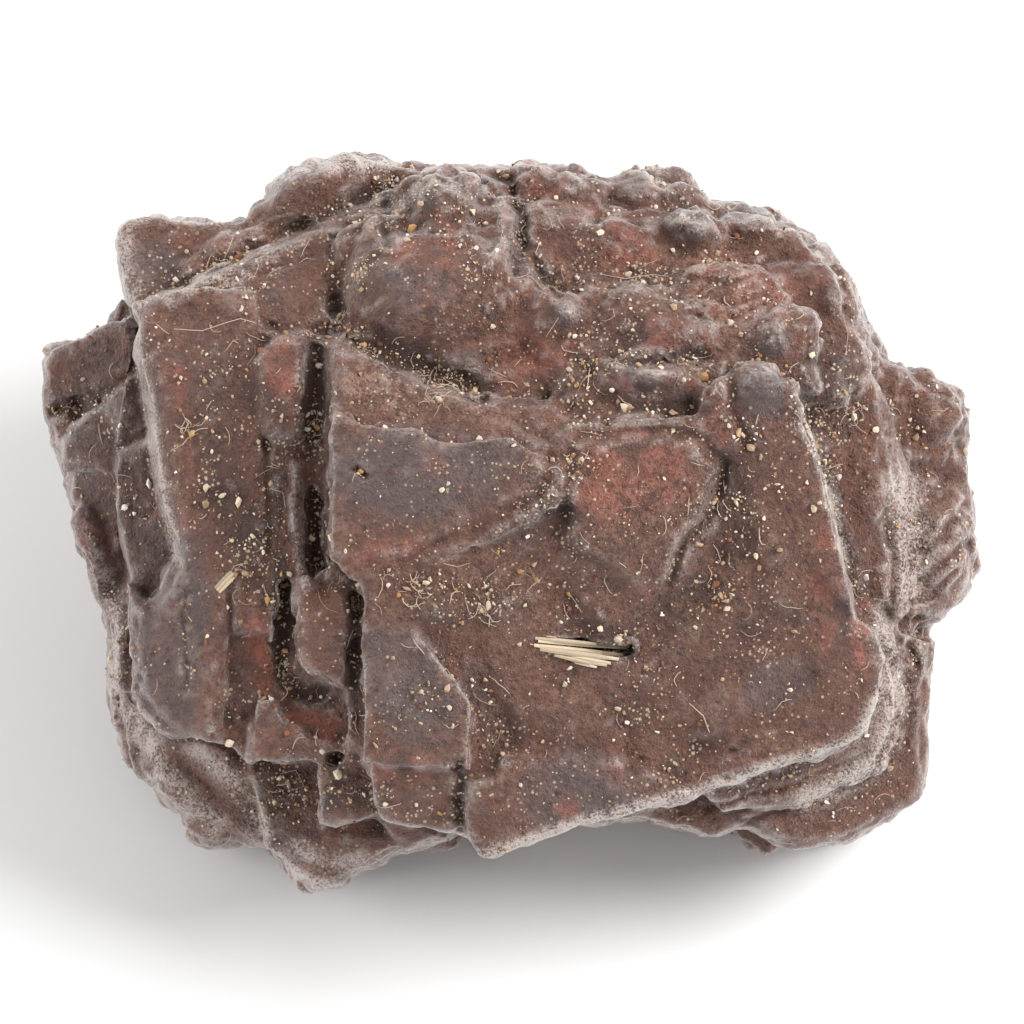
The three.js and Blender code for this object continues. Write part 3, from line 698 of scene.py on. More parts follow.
@dataclass(frozen=True)
class Tints:
    """Where the colours of the broad face lie, and where a painted sheen lies along its edges."""

    soil: tuple[Spot | Stroke, ...] = (
        Spot((-9.7, 6.6), (1.0, 3.6), 0, 0.8),
        Spot((-9.5, -0.2), (0.6, 2.4)),
        Spot((-11.3, -4.6), (0.6, 3.8)),
        Spot((-9.8, -8.6), (1.5, 0.7), -10),
        Spot((-11.3, -13.5), (1.9, 1.4), 0, 0.8),
        Spot((-8.6, -12.0), (0.5, 0.5)),
        Spot((-9.1, -14.0), (0.7, 0.6)),
        Spot((-7.6, -7.6), (0.4, 3.9), 0, 0.9),
        Spot((-5.0, 8.2), (4.6, 0.9), -24, 1.1),
        Spot((5.4, -6.1), (1.6, 0.7)),
        Spot((-4.2, 15.8), (0.7, 0.6)),
        Spot((-3.4, 15.4), (2.8, 1.9), 0, 0.7),
        Spot((4.2, 14.0), (1.6, 1.4), -30, 0.5),
        Spot((-1.2, 11.4), (0.8, 2.4), 20, 0.4),
        Spot((-13.2, 3.6), (3.0, 6.4), 5, 0.6),
        Spot((-7.4, -13.4), (2.4, 1.2), 0, 0.5),
        Spot((8.5, -3.5), (7.0, 6.0), 0, 0.3),
        Spot((11.0, 0.4), (1.6, 3.4), 10, 0.6),
        Spot((9.0, -3.8), (2.4, 1.2), 20, 0.45),
        Spot((4.4, -5.6), (2.4, 0.9), -10, 0.6),
        Spot((3.4, -0.6), (0.9, 1.6), -20, 0.5),
        Spot((6.0, -9.6), (1.6, 1.6), 0, 0.5),
        Spot((-0.4, -10.6), (1.4, 1.8), 0, 0.4),
        Spot((-12.4, -1.6), (1.6, 3.0), 0, 0.5),
        Spot((1.8, 0.9), (1.4, 1.0), 30, 0.5),
        Spot((3.0, 2.4), (1.0, 1.0), 0, 0.4),
        Spot((-2.5, -4.0), (3.4, 1.6), 0, 0.5),
        Spot((11.0, 4.0), (2.0, 4.0), 20, 0.45),
        Spot((7.3, 12.2), (2.2, 1.0), -10, 0.7),
        Spot((6.3, 9.5), (0.8, 0.7), 0, 1.0),
        Spot((7.6, 5.8), (2.6, 1.3), 0, 0.7),
        Spot((3.6, 6.6), (2.4, 1.0), -10, 0.5),
        Spot((15.8, 6.2), (2.4, 3.2), 0, 0.75),
        Spot((-7.3, 2.4), (0.5, 0.35), -30, 1.2),
        Spot((13.4, -12.4), (3.4, 0.7), 18, 1.0),
        Spot((-2.4, -13.6), (0.4, 1.9), 0, 1.0),
        Spot((-16.8, 12.2), (0.9, 1.1), 0, 0.6),
        Spot((0.6, 14.8), (0.6, 1.8), 0, 0.9),
        Spot((8.4, -12.3), (1.6, 0.8), 20, 0.5),
        Spot((0.6, -0.4), (2.2, 1.2), 30, 0.4),
        Stroke(((14.9, 5.0), (15.8, 2.4), (16.6, -0.8), (17.3, -3.4)), 0.4),
        Stroke(((-19.9, 4.6), (-19.0, 1.6), (-18.8, -1.2)), 0.4),
        Stroke(((-22.4, 5.6), (-21.0, 6.0), (-19.6, 6.6)), 0.35),
        Stroke(((-20.6, -1.0), (-19.2, -4.6), (-19.3, -8.0)), 0.3),
        Stroke(((-17.6, 11.2), (-14.6, 12.9), (-12.0, 14.0)), 0.25),
        Stroke(((-6.0, 16.6), (-6.1, 14.2), (-7.4, 12.2)), 0.45),
        Stroke(((3.6, 7.9), (6.2, 8.2), (9.6, 8.2)), 0.45),
        Stroke(((18.8, -4.3), (19.0, -4.8)), 0.3),
        Stroke(((20.2, -6.2), (20.6, -7.2)), 0.3),
        Stroke(((20.5, 0.1), (20.8, 0.5)), 0.16),
    )
    red: tuple[Spot, ...] = (
        Spot((-11.2, 7.6), (1.1, 1.9), 0, 0.8),
        Spot((-12.6, 3.0), (0.9, 2.6), 0, 0.7),
        Spot((-16.0, 5.0), (0.5, 4.2), 5, 0.4),
        Spot((-12.3, -6.6), (0.7, 2.6), 5, 0.9),
        Spot((-9.6, -10.2), (2.2, 0.9), -20, 0.8),
        Spot((-3.6, 2.6), (0.8, 1.0), 0, 0.3),
        Spot((-6.2, -1.4), (2.4, 0.9), 10, 0.5),
        Spot((5.9, 2.2), (3.6, 2.9), 20, 0.65),
        Spot((-4.2, 14.4), (2.6, 2.2), 20, 0.7),
        Spot((1.4, 17.2), (1.9, 1.2), 0, 0.8),
        Spot((5.6, 13.6), (3.6, 1.5), -35, 0.6),
        Spot((11.4, 11.6), (3.6, 2.0), -20, 0.7),
        Spot((10.4, 4.8), (1.2, 2.6), 10, 0.6),
        Spot((1.6, 8.4), (2.2, 1.4), 0, 0.6),
        Spot((15.8, -3.0), (0.9, 4.0), 0, 0.7),
        Spot((17.6, -5.6), (0.7, 2.4), 0, 0.8),
        Spot((3.0, -14.2), (0.8, 1.0), 0, 0.5),
        Spot((-5.8, -12.6), (2.4, 1.2), 20, 0.5),
    )
    slate: tuple[Spot, ...] = (
        Spot((-4.6, 2.4), (5.4, 2.8), 0, 1.0),
        Spot((-5.0, -8.0), (2.6, 4.0), 20, 0.8),
        Spot((-17.0, -5.0), (2.6, 7.0), 0, 0.8),
        Spot((3.5, -13.4), (4.0, 2.6), 0, 0.6),
        Spot((13.4, -8.0), (2.6, 1.6), 20, 0.7),
        Spot((12.6, 6.4), (1.5, 1.7), 0, 1.0),
        Spot((13.2, 9.1), (0.9, 1.2), 0, 0.9),
        Spot((9.1, 14.9), (1.5, 1.0), -20, 1.0),
        Spot((12.6, 15.2), (1.6, 0.8), -15, 0.7),
        Spot((3.1, 17.0), (1.2, 1.1), 0, 0.9),
        Spot((7.2, 16.8), (1.6, 1.0), 0, 0.6),
        Spot((7.0, 7.3), (2.0, 0.9), 0, 0.9),
        Spot((9.3, 9.4), (1.0, 0.9), 0, 0.7),
        Spot((2.9, 10.2), (1.2, 0.9), 20, 0.7),
        Spot((1.9, 12.4), (0.7, 0.6), 0, 0.8),
        Spot((-2.0, 7.8), (1.6, 0.8), -20, 0.7),
        Spot((-20.0, 4.0), (3.0, 6.0), 0, 0.6),
        Spot((-17.6, 13.0), (1.4, 1.6), 0, 0.9),
        Spot((-5.0, 11.4), (3.0, 1.6), 0, 0.5),
    )
    # Painted sheen: pale strokes along edges and side faces, standing in for glancing reflection of the pale
    # room.
    pale: tuple[Stroke, ...] = (
        Stroke(((-18.9, 10.6), (-18.4, 8.0), (-17.6, 3.6), (-16.6, -1.8)), 0.32),
        Stroke(((-19.3, 14.9), (-19.1, 12.6), (-18.6, 11.2)), 0.5),
        Stroke(((-18.4, 10.9), (-15.6, 12.0), (-12.9, 12.3)), 0.25),
        Stroke(((-19.2, 15.2), (-17.6, 15.5), (-14.4, 15.0)), 0.3),
        Stroke(((-12.4, 17.2), (-9.4, 18.2), (-6.4, 18.0)), 0.5),
        Stroke(
            ((-1.5, -16.6), (3.7, -14.9), (7.8, -13.9), (12.4, -12.5), (17.4, -10.7), (18.7, -8.3)),
            0.35,
        ),
        Stroke(((-20.5, -1.6), (-19.6, -5.6), (-19.8, -8.4), (-18.4, -11.2)), 0.3),
        Stroke(((-15.6, -11.4), (-13.6, -13.2), (-12.2, -15.6)), 0.5),
        Stroke(((-11.4, -16.6), (-10.4, -17.9), (-8.8, -18.3)), 0.35),
        Stroke(((19.6, 1.6), (20.4, -0.6), (20.2, -3.0)), 0.9),
        Stroke(((18.6, -4.6), (19.4, -8.0), (18.6, -12.0), (15.0, -14.0)), 0.6),
        Stroke(((14.9, 4.9), (16.0, 1.6), (16.9, -2.4)), 0.2),
        Stroke(((-18.8, -9.6), (-17.0, -12.8), (-14.6, -15.2)), 0.55),
        Stroke(((-10.6, -16.2), (-9.0, -17.2), (-7.4, -16.8)), 0.4),
    )
    dust: tuple[Spot, ...] = (
        Spot((-4.2, 6.2), (5.6, 1.6), -12, 1.1),
        Spot((10.4, 11.6), (4.6, 2.4), -20, 0.8),
        Spot((3.4, 11.4), (3.0, 1.6), -30, 0.6),
        Spot((-3.0, -3.2), (6.0, 2.0), 0, 0.35),
        Spot((6.0, -2.0), (9.0, 6.0), 0, 0.35),
        Spot((-13.0, 14.2), (4.4, 1.4), 25, 0.6),
    )


@dataclass(frozen=True)
class Weathering:
    """How far the stone is worn: distances are in millimetres, and the rest are shares."""

    # The lumpy upper slope begins up the face and to the right of the tall left crystal.
    upper_v: Span = (3.5, 8.5)
    upper_u: Span = (-9, -5)
    # Rounds of averaging for an edge that stayed crisp and for one that wore off, and what decides on it.
    crisp_rounds: int = 2
    soft_rounds: int = 16
    soft_upper: float = 0.6
    soft_patches: float = 0.9
    soft_less: float = 0.15
    # How far flat faces bend, and how far the surface moves about everywhere, on side faces and on the slope.
    bend: float = 0.4
    stir: float = 0.05
    stir_flank: float = 0.14
    stir_upper: float = 0.04
    # Heights of the swells, the ripples, the dents and the chips along edges.
    swell: float = 0.13
    ripple: float = 0.08
    dent: float = 0.12
    chip: float = 0.3
    chip_edge: float = 6
    # Creases between cells: the cells' size and the depth, on the slope and a little everywhere.
    creases: tuple[Span, ...] = ((3.4, 0.3), (1.5, 0.07))
    crease_width: float = 0.28
    crease_upper: float = 0.3
    crease_least: float = 0.1
    # Roughness of the slope and of the side faces, and the thin layers of the side faces.
    slope_grain: float = 0.12
    flank_grain: float = 0.2
    layer_depth: float = 0.09
    layer_pitch: float = 0.6


@dataclass
class StoneBody:
    """The stone itself, sculpted from the frame's crystals."""

    face: FaceFrame
    relief: Relief = field(default_factory=Relief)
    tints: Tints = field(default_factory=Tints)
    weathering: Weathering = field(default_factory=Weathering)
    merge: float = 0.0005
    silt_above: float = 5
    lump_foot: float = 3
    lean_above: float = -2
    lean_height: float = 3.2
    shake: float = 0.35
    shake_size: float = 1.6
    near_rounds: int = 5
    wide_rounds: int = 70
    hidden_below: float = -0.2
    voxel: float = 0.16
    triangles: int = 196000
    seed: int = 11

    def build(self) -> bpy.types.Object:
        """Copies the frame's solid, rounds and roughens it, and gives the finished piece."""
        stone = self._copy_of_frame()
        apply_modifier(stone, "REMESH", mode="VOXEL", voxel_size=self.voxel, adaptivity=0.0)
        self._wear(stone)
        self._mark(stone)
        self._thin(stone)
        stone.data.transform(self.face.to_world())
        select_only(stone)
        bpy.ops.object.shade_smooth()
        return stone

    def _copy_of_frame(self) -> bpy.types.Object:
        """Copies the CAD solid into the face frame and joins its loose triangles."""
        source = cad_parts["stone"]
        stone = bpy.data.objects.new("worn_stone", source.data.copy())
        bpy.context.scene.collection.objects.link(stone)
        stone.data.materials.clear()
        stone.data.transform(self.face.to_world().inverted())
        surface = Surface(stone)
        for spot, level in self.relief.silt:
            low = (spot.share(surface.points) > 0) & (surface.points[:, 2] > self.silt_above)
            surface.points[low, 2] = np.maximum(surface.points[low, 2], level)
        surface.write()
        face_outward(stone, self.merge)
        return stone

    def _wear(self, stone: bpy.types.Object) -> None:
        """Rounds the edges, bends the flat faces and roughens everything."""
        wear = self.weathering
        noise = Noise(self.seed)
        surface = Surface(stone)
        start = surface.points.copy()
        self._lean(surface)
        foot = smoothstep(0, self.lump_foot, start[:, 2])
        surface.points[:, 2] += foot * spots_on(self._shaken(noise, start), self.relief.lumps)
        surface.write()
        upper = smoothstep(*wear.upper_v, start[:, 1]) * smoothstep(*wear.upper_u, start[:, 0])
        chipped = self._round_edges(surface, noise, start, upper)
        front = smoothstep(0.05, 0.5, surface.normals[:, 2])
        flank = 1 - smoothstep(0.3, 0.75, np.abs(surface.normals[:, 2]))
        flank *= 1 - np.clip(spots_on(start, self.relief.calm), 0, 0.9)
        warp = np.stack([noise.grain(start + shift, 7.0, 2) for shift in (0, 40, 80)], axis=1)
        fine = np.stack([noise.grain(start + shift, 1.2, 2) for shift in (10, 50, 90)], axis=1)
        stir = wear.stir + wear.stir_flank * flank + wear.stir_upper * upper
        surface.points += (wear.bend * warp + stir[:, None] * fine).astype(np.float32)
        surface.write()
        height = wear.swell * noise.grain(start, 2.2, 3) + wear.ripple * noise.grain(start + 9, 0.7, 3)
        height -= wear.dent * smoothstep(0.25, 0.6, noise.grain(start + 31, 1.0, 2))
        chips = np.clip(noise.grain(start + 77, 1.1, 3) + 0.1, 0, 1)
        height -= np.clip(-chipped * wear.chip_edge, 0, 1) * wear.chip * chips
        bent = start + 0.6 * fine
        for size, depth in wear.creases:
            nearest, second = noise.cells(bent, size)
            crease = 1 - smoothstep(0, wear.crease_width, second - nearest)
            height -= (wear.crease_upper * upper + flank + wear.crease_least) * depth * crease
        height += upper * wear.slope_grain * noise.grain(start + 5, 1.2, 4, 0.6)
        height += flank * wear.flank_grain * noise.grain(start + 3, 1.6, 3)
        layers = noise.waves(start * np.array([0.1, 0.1, 1.0], np.float32), wear.layer_pitch)
        height += wear.layer_depth * flank * layers
        surface.push(height)
        surface.push(-front * self.relief.depth(self._shaken(noise, surface.points)))
        surface.points = surface.relaxed(surface.points, 1)
        self._settle(surface)

    def _round_edges(self, surface: Surface, noise: Noise, start: Array, upper: Array) -> Array:
        """Rounds the edges, more on the upper slope, in patches and where the stone was handled.

        Args:
            surface: The surface to round.
            noise: Where the patches come from.
            start: The vertices before any wear.
            upper: How much each vertex belongs to the upper slope.

        Returns:
            How far the rounding moves each vertex out, which is less than 0 on an edge.
        """
        wear = self.weathering
        crisp = surface.relaxed(surface.points, wear.crisp_rounds)
        soft = surface.relaxed(crisp, wear.soft_rounds)
        blend = wear.soft_upper * upper + wear.soft_patches * noise.grain(start, 4.0, 2) - wear.soft_less
        blend = np.clip(np.maximum(blend, spots_on(start, self.relief.worn)), 0, 1)
        chipped = ((soft - crisp) * surface.normals).sum(axis=1)
        surface.points = crisp * (1 - blend[:, None]) + soft * blend[:, None]
        surface.write()
        return chipped

    def _settle(self, surface: Surface) -> None:
        """Lifts what wear pushed below the table back up to it."""
        world = np.array(self.face.to_world()) / MM
        rest = -(world[2, 3] + surface.points @ world[2, :3]) / world[2, 2]
        surface.points[:, 2] += np.maximum(rest, 0)
        surface.write()

    def _lean(self, surface: Surface) -> None:
        """Leans the left sides of the tall left crystal and of the slab behind it out at their foot."""
        points = surface.points
        lean = np.zeros(len(points), np.float32)
        for spot, top in self.relief.leans:
            lean += spot.share(points) * np.clip(top - points[:, 2], 0, self.lean_height)
        points[:, 0] -= lean * (points[:, 2] > self.lean_above)
        surface.write()

    def _shaken(self, noise: Noise, points: Array) -> Array:
        """Moves points about a little, so that what is placed on them gets an uneven outline."""
        shift = np.stack([noise.grain(points + add, self.shake_size, 3) for add in (7, 23, 61)], axis=1)
        return points + self.shake * shift

    def _thin(self, stone: bpy.types.Object) -> None:
        """Leaves fewer triangles where the surface is plain, and fewest on the underside."""
        surface = Surface(stone)
        group = stone.vertex_groups.new(name="underside")
        hidden = np.nonzero(surface.normals[:, 2] < self.hidden_below)[0]
        group.add(hidden.tolist(), 1.0, "REPLACE")
        for settings in ({"vertex_group": group.name, "vertex_group_factor": 1.0}, {}):
            count = sum(len(face.vertices) - 2 for face in stone.data.polygons)
            apply_modifier(stone, "DECIMATE", ratio=min(1.0, self.triangles / count), **settings)
        apply_modifier(stone, "TRIANGULATE")
        stone.vertex_groups.clear()

    def _mark(self, stone: bpy.types.Object) -> None:
        """Marks hollows, edges, tops and tints on the mesh for the finish and for what lies on the stone."""
        surface = Surface(stone)
        noise = Noise(self.seed + 1)
        points, normals = surface.points, surface.normals
        near = surface.relaxed(points, self.near_rounds)
        wide = surface.relaxed(near, self.wide_rounds)
        fine = ((near - points) * normals).sum(axis=1)
        broad = ((wide - points) * normals).sum(axis=1)
        up = normals @ (np.array(self.face.to_world())[2, :3] / MM)
        shaken = self._shaken(noise, points)
        front = smoothstep(0.0, 0.4, normals[:, 2])
        # crevice and recess measure hollows: the finish paints shade into them, and sand and lint gather
        # there.
        for name, low, high, value in (
            ("crevice", 0.005, 0.06, fine),
            ("edge", 0.005, 0.05, -fine),
            ("recess", 0.03, 0.55, broad),
            ("crown", 0.03, 0.5, -broad),
            ("upward", 0.2, 0.95, up),
        ):
            surface.store(name, smoothstep(low, high, value))
        surface.store("flank", 1 - smoothstep(0.35, 0.8, np.abs(normals[:, 2])))
        for name in ("soil", "red", "slate", "dust"):
            spots = spots_on(shaken, getattr(self.tints, name))
            surface.store(name, np.clip(front * spots, 0, 1.2))
        # The pale strokes mark a painted sheen, standing in for glancing reflection along edges and side
        # faces.
        pale = np.zeros(len(points), np.float32)
        for stroke in self.tints.pale:
            pale = np.maximum(pale, stroke.share(shaken))
        surface.store("pale", pale * smoothstep(-0.2, 0.1, normals[:, 2]))


@dataclass(frozen=True)
class Specks:
    """Sand too fine to model, as dots in cells that are size millimetres apart."""

    size: float
    radius: float
    share: float


@dataclass(frozen=True)
class StoneFinish:
    """The stone's worn, dusty iron oxide, with painted shade in hollows and a painted edge sheen; sizes are
    in millimetres.
    """

    slate: tuple[float, ...] = linear(90, 70, 67)
    brown: tuple[float, ...] = linear(101, 60, 44)
    ruddy: tuple[float, ...] = linear(152, 78, 60)
    soil: tuple[float, ...] = linear(58, 28, 17)
    dust: tuple[float, ...] = linear(164, 130, 110)
    # A painted sheen, the colour of glancing reflection on edges and side faces.
    painted_sheen_colour: tuple[float, ...] = linear(190, 175, 167)
    sand: tuple[float, ...] = linear(206, 184, 158)
    ochre: tuple[float, ...] = linear(170, 120, 78)
    blotch_size: float = 3.4
    coarse_size: float = 1.6
    mottle_size: float = 0.42
    grit_size: float = 0.15
    pore_gap: float = 0.7
    pit_gap: float = 0.34
    specks: tuple[Specks, ...] = (Specks(0.2, 0.3, 0.9), Specks(0.3, 0.26, 0.9), Specks(0.46, 0.2, 0.7))

    def material(self) -> bpy.types.Material:
        """Writes the material."""
        paint = Paint("worn_iron_oxide")
        recess, crevice, edge, crown = map(paint.attribute, ("recess", "crevice", "edge", "crown"))
        upward, flank, pale = map(paint.attribute, ("upward", "flank", "pale"))
        soil, red, slate, dust = map(paint.attribute, ("soil", "red", "slate", "dust"))
        blotch = paint.noise(self.blotch_size, 6, 0.68)
        coarse = paint.noise(self.coarse_size, 5, 0.62)
        mottle = paint.noise(self.mottle_size, 4, 0.68)
        grit = paint.noise(self.grit_size, 3, 0.75)

        # Bluish grey crystals in brown ones, and a red blush on both.
        bluish = paint.noise(5.0, 4, 0.6).step(0.52, 0.7) * 0.6
        colour = paint.mix((slate + bluish).clamped(), self.brown, self.slate)
        blush = red * coarse.step(0.36, 0.6) + paint.noise(3.2, 5, 0.65).step(0.56, 0.72) * 0.45
        colour = paint.mix(blush.clamped(), colour, self.ruddy)

        # Earth and painted shade in hollows and creases, stains, dark grains, pores and pits.
        patch = (blotch * 0.6 + coarse * 0.4).step(0.49, 0.6) * (1 - slate * 0.7)
        # Painted shade in recesses and creases, mixed with earth stains in the soil spots.
        stain_and_shade = soil * coarse.step(0.3, 0.52) * 0.9 + recess * mottle.step(0.25, 0.6) * 0.7 + crevice * 0.4
        stain_and_shade = stain_and_shade + patch * mottle.step(0.38, 0.58) * 0.55
        grain = (1 - (mottle * 0.5 + grit * 0.5).step(0.4, 0.48)) * (0.35 + soil * 0.5 + patch * 0.3)
        pore = paint.dots(paint.cells(self.pore_gap), 0.08, 0.3) * paint.noise(2.0, 2).step(0.5, 0.62)
        pits = paint.cells(self.pit_gap)
        pit = paint.dots(pits, 0.1, 0.34) * (paint.chance(pits, 1) + patch * 0.2).step(0.6, 0.72)
        tone = blotch * 0.9 + coarse * 1.2 + mottle * 1.1 + grit * 0.7 - 0.93
        colour = paint.mix(1.0, colour, tone.socket, "MULTIPLY")
        colour = paint.mix(((stain_and_shade + grain + pore * 0.7 + pit * 0.6) * 0.92).clamped(), colour, self.soil)

        # Dust where it settles, a painted sheen on edges and side faces that stands in for glancing
        # reflection of the pale room, and the finest sand on top.
        film = dust * 0.55 + crown * 0.25 + upward * (1 - patch) * (1 - slate * 0.6) * 0.25
        powder = film * (coarse * 0.3 + mottle * 0.4 + grit * 0.3).step(0.46, 0.6)
        colour = paint.mix((powder * (1 - soil * 0.5)).clamped(), colour, self.dust)
        painted_sheen_share = (flank * 0.5 + edge * 0.6 + pale * 1.1) * (coarse * 0.4 + grit * 0.6).step(0.4, 0.58)
        colour = paint.mix(painted_sheen_share.clamped(), colour, self.painted_sheen_colour)
        scattered = (recess + soil + 0.5) * paint.noise(2.6, 4, 0.6).step(0.42, 0.66)
        colour = self._specks(paint, colour, scattered.clamped())

        normal = paint.bump(coarse * 0.55 + mottle * 0.3 + grit * 0.2 - pore * 0.15 - pit * 0.06)
        rough = 0.42 + mottle * 0.3 + powder * 0.3 - flank * 0.12 - edge * 0.1
        return paint.finish(
            Base_Color=colour,
            Roughness=rough.clamped(),
            Normal=normal,
            IOR=1.6,
            Coat_Weight=(flank * 0.75 + edge * 0.5).clamped(),
            Coat_Roughness=0.38,
            Coat_IOR=1.7,
            Sheen_Weight=0.12,
            Sheen_Roughness=0.3,
        )

    def _specks(self, paint: Paint, colour: Any, amount: Value) -> Any:
        """Scatters the finest sand over a colour.

        Args:
            paint: The material.
            colour: The colour below.
            amount: How dense the specks lie, from 0 to 1.

        Returns:
            The colour with the specks on it.
        """
        for speck in self.specks:
            cells = paint.cells(speck.size)
            tone = paint.chance(cells, 0)
            dot = paint.dots(cells, speck.radius * 0.7, speck.radius * 1.3)
            chosen = (tone + amount * 0.5).step(0.99, 1.07)
            tint = paint.mix(tone.step(0.95, 0.99), self.sand, self.ochre)
            colour = paint.mix(dot * chosen * speck.share, colour, tint)
        return colour


# ---------------------------------------------------------------------------------------------------------
# Loose sand, lint and straw
# ---------------------------------------------------------------------------------------------------------


class Lodging:
    """The stone's surface as a place where loose things come to rest."""

    ABOVE = 20  # Height over the face, in millimetres, that things are dropped from.

    def __init__(self, body: bpy.types.Object, face: FaceFrame, seed: int) -> None:
        """Reads where dirt gathers on the stone.

        Args:
            body: The finished stone.
            face: The stone's own axes.
            seed: Which patches hold more.
        """
        self.body = body
        self.face = face
        self.surface = Surface(body)
        count = len(body.data.polygons)
        self.corners = np.empty(count * 3, np.int32)
        body.data.polygons.foreach_get("vertices", self.corners)
        self.corners = self.corners.reshape(-1, 3)
        area = np.empty(count, np.float32)
        body.data.polygons.foreach_get("area", area)
        recess, crevice, upward, soil = (self._mark(name) for name in ("recess", "crevice", "upward", "soil"))
        middle = self.surface.points[self.corners].mean(axis=1) / MM
        patchy = smoothstep(-0.25, 0.6, Noise(seed).grain(middle, 3.0, 3)) ** 2
        weight = area * (0.05 + upward) * (0.15 + recess + soil + 0.6 * crevice) * (0.15 + patchy)
        self.odds = weight / weight.sum()

    def _mark(self, name: str) -> Array:
        """Reads a mark of the stone for each triangle."""
        values = np.empty(len(self.surface.points), np.float32)
        self.body.data.attributes[name].data.foreach_get("value", values)
        return values[self.corners].mean(axis=1)

    def places(self, random: np.random.Generator, count: int) -> tuple[Array, Array]:
        """Picks places where dirt gathers.

        Args:
            random: Where the choice comes from.
            count: How many places.

        Returns:
            The places and the surface normals there.
        """
        chosen = self.corners[random.choice(len(self.corners), count, p=self.odds)]
        shares = random.dirichlet((1, 1, 1), count)[:, :, None]
        points, normals = self.surface.points[chosen], self.surface.normals[chosen]
        return (points * shares).sum(axis=1), (normals * shares).sum(axis=1)

    def drop(self, u: float, v: float) -> tuple[Vector, Vector]:
        """Finds the surface under a place of the face, as a point and its normal."""
        start = self.face.point(u, v, self.ABOVE)
        _, place, normal, _ = self.body.ray_cast(start, -self.face.axis("w"))
        return place, normal

    def rest(self, place: Vector) -> tuple[Vector, Vector]:
        """Finds the nearest point of the surface and its normal."""
        _, near, normal, _ = self.body.closest_point_on_mesh(place)
        return near, normal


def piece_from(
    name: str, points: Array, faces: Array, tints: Array, material: bpy.types.Material
) -> bpy.types.Object:
    """Makes a piece from vertices, faces and a colour for each vertex.

    Args:
        name: The piece's name.
        points: The vertices in metres.
        faces: The vertex numbers of each face.
        tints: The linear colour of each vertex.
        material: The material, which reads the colours.

    Returns:
        The new piece, with its normals outward.
    """
    mesh = bpy.data.meshes.new(name)
    mesh.from_pydata(points.tolist(), [], faces.tolist())
    attribute = mesh.attributes.new("tint", "FLOAT_COLOR", "POINT")
    full = np.concatenate([tints, np.ones((len(tints), 1))], axis=1)
    attribute.data.foreach_set("color", full.astype(np.float32).ravel())
    mesh.materials.append(material)
    piece = bpy.data.objects.new(name, mesh)
    bpy.context.scene.collection.objects.link(piece)
    face_outward(piece)
    return piece


def tinted(name: str, roughness: float, sheen: float = 0.0) -> bpy.types.Material:
    """Writes a matt material that takes its colour from the mesh."""
    paint = Paint(name)
    tint = paint.node("ShaderNodeAttribute", {"attribute_name": "tint"}, {}).outputs["Color"]
    return paint.finish(Base_Color=tint, Roughness=roughness, Sheen_Weight=sheen)


class Tone(Enum):
    """The colours of sand, lint and straw."""

    TAN = linear(172, 144, 116)[:3]
    CREAM = linear(212, 194, 168)[:3]
    WHITE = linear(222, 212, 202)[:3]
    OCHRE = linear(182, 140, 92)[:3]
    RUST = linear(132, 80, 58)[:3]
    EARTH = linear(104, 70, 50)[:3]
    LINT = linear(208, 184, 164)[:3]
    STRAW = linear(206, 184, 156)[:3]


@dataclass(frozen=True)
class Pebble:
    """One of the largest grains, at its own place."""

    at: tuple[float, float]
    size: float
    tone: Tone


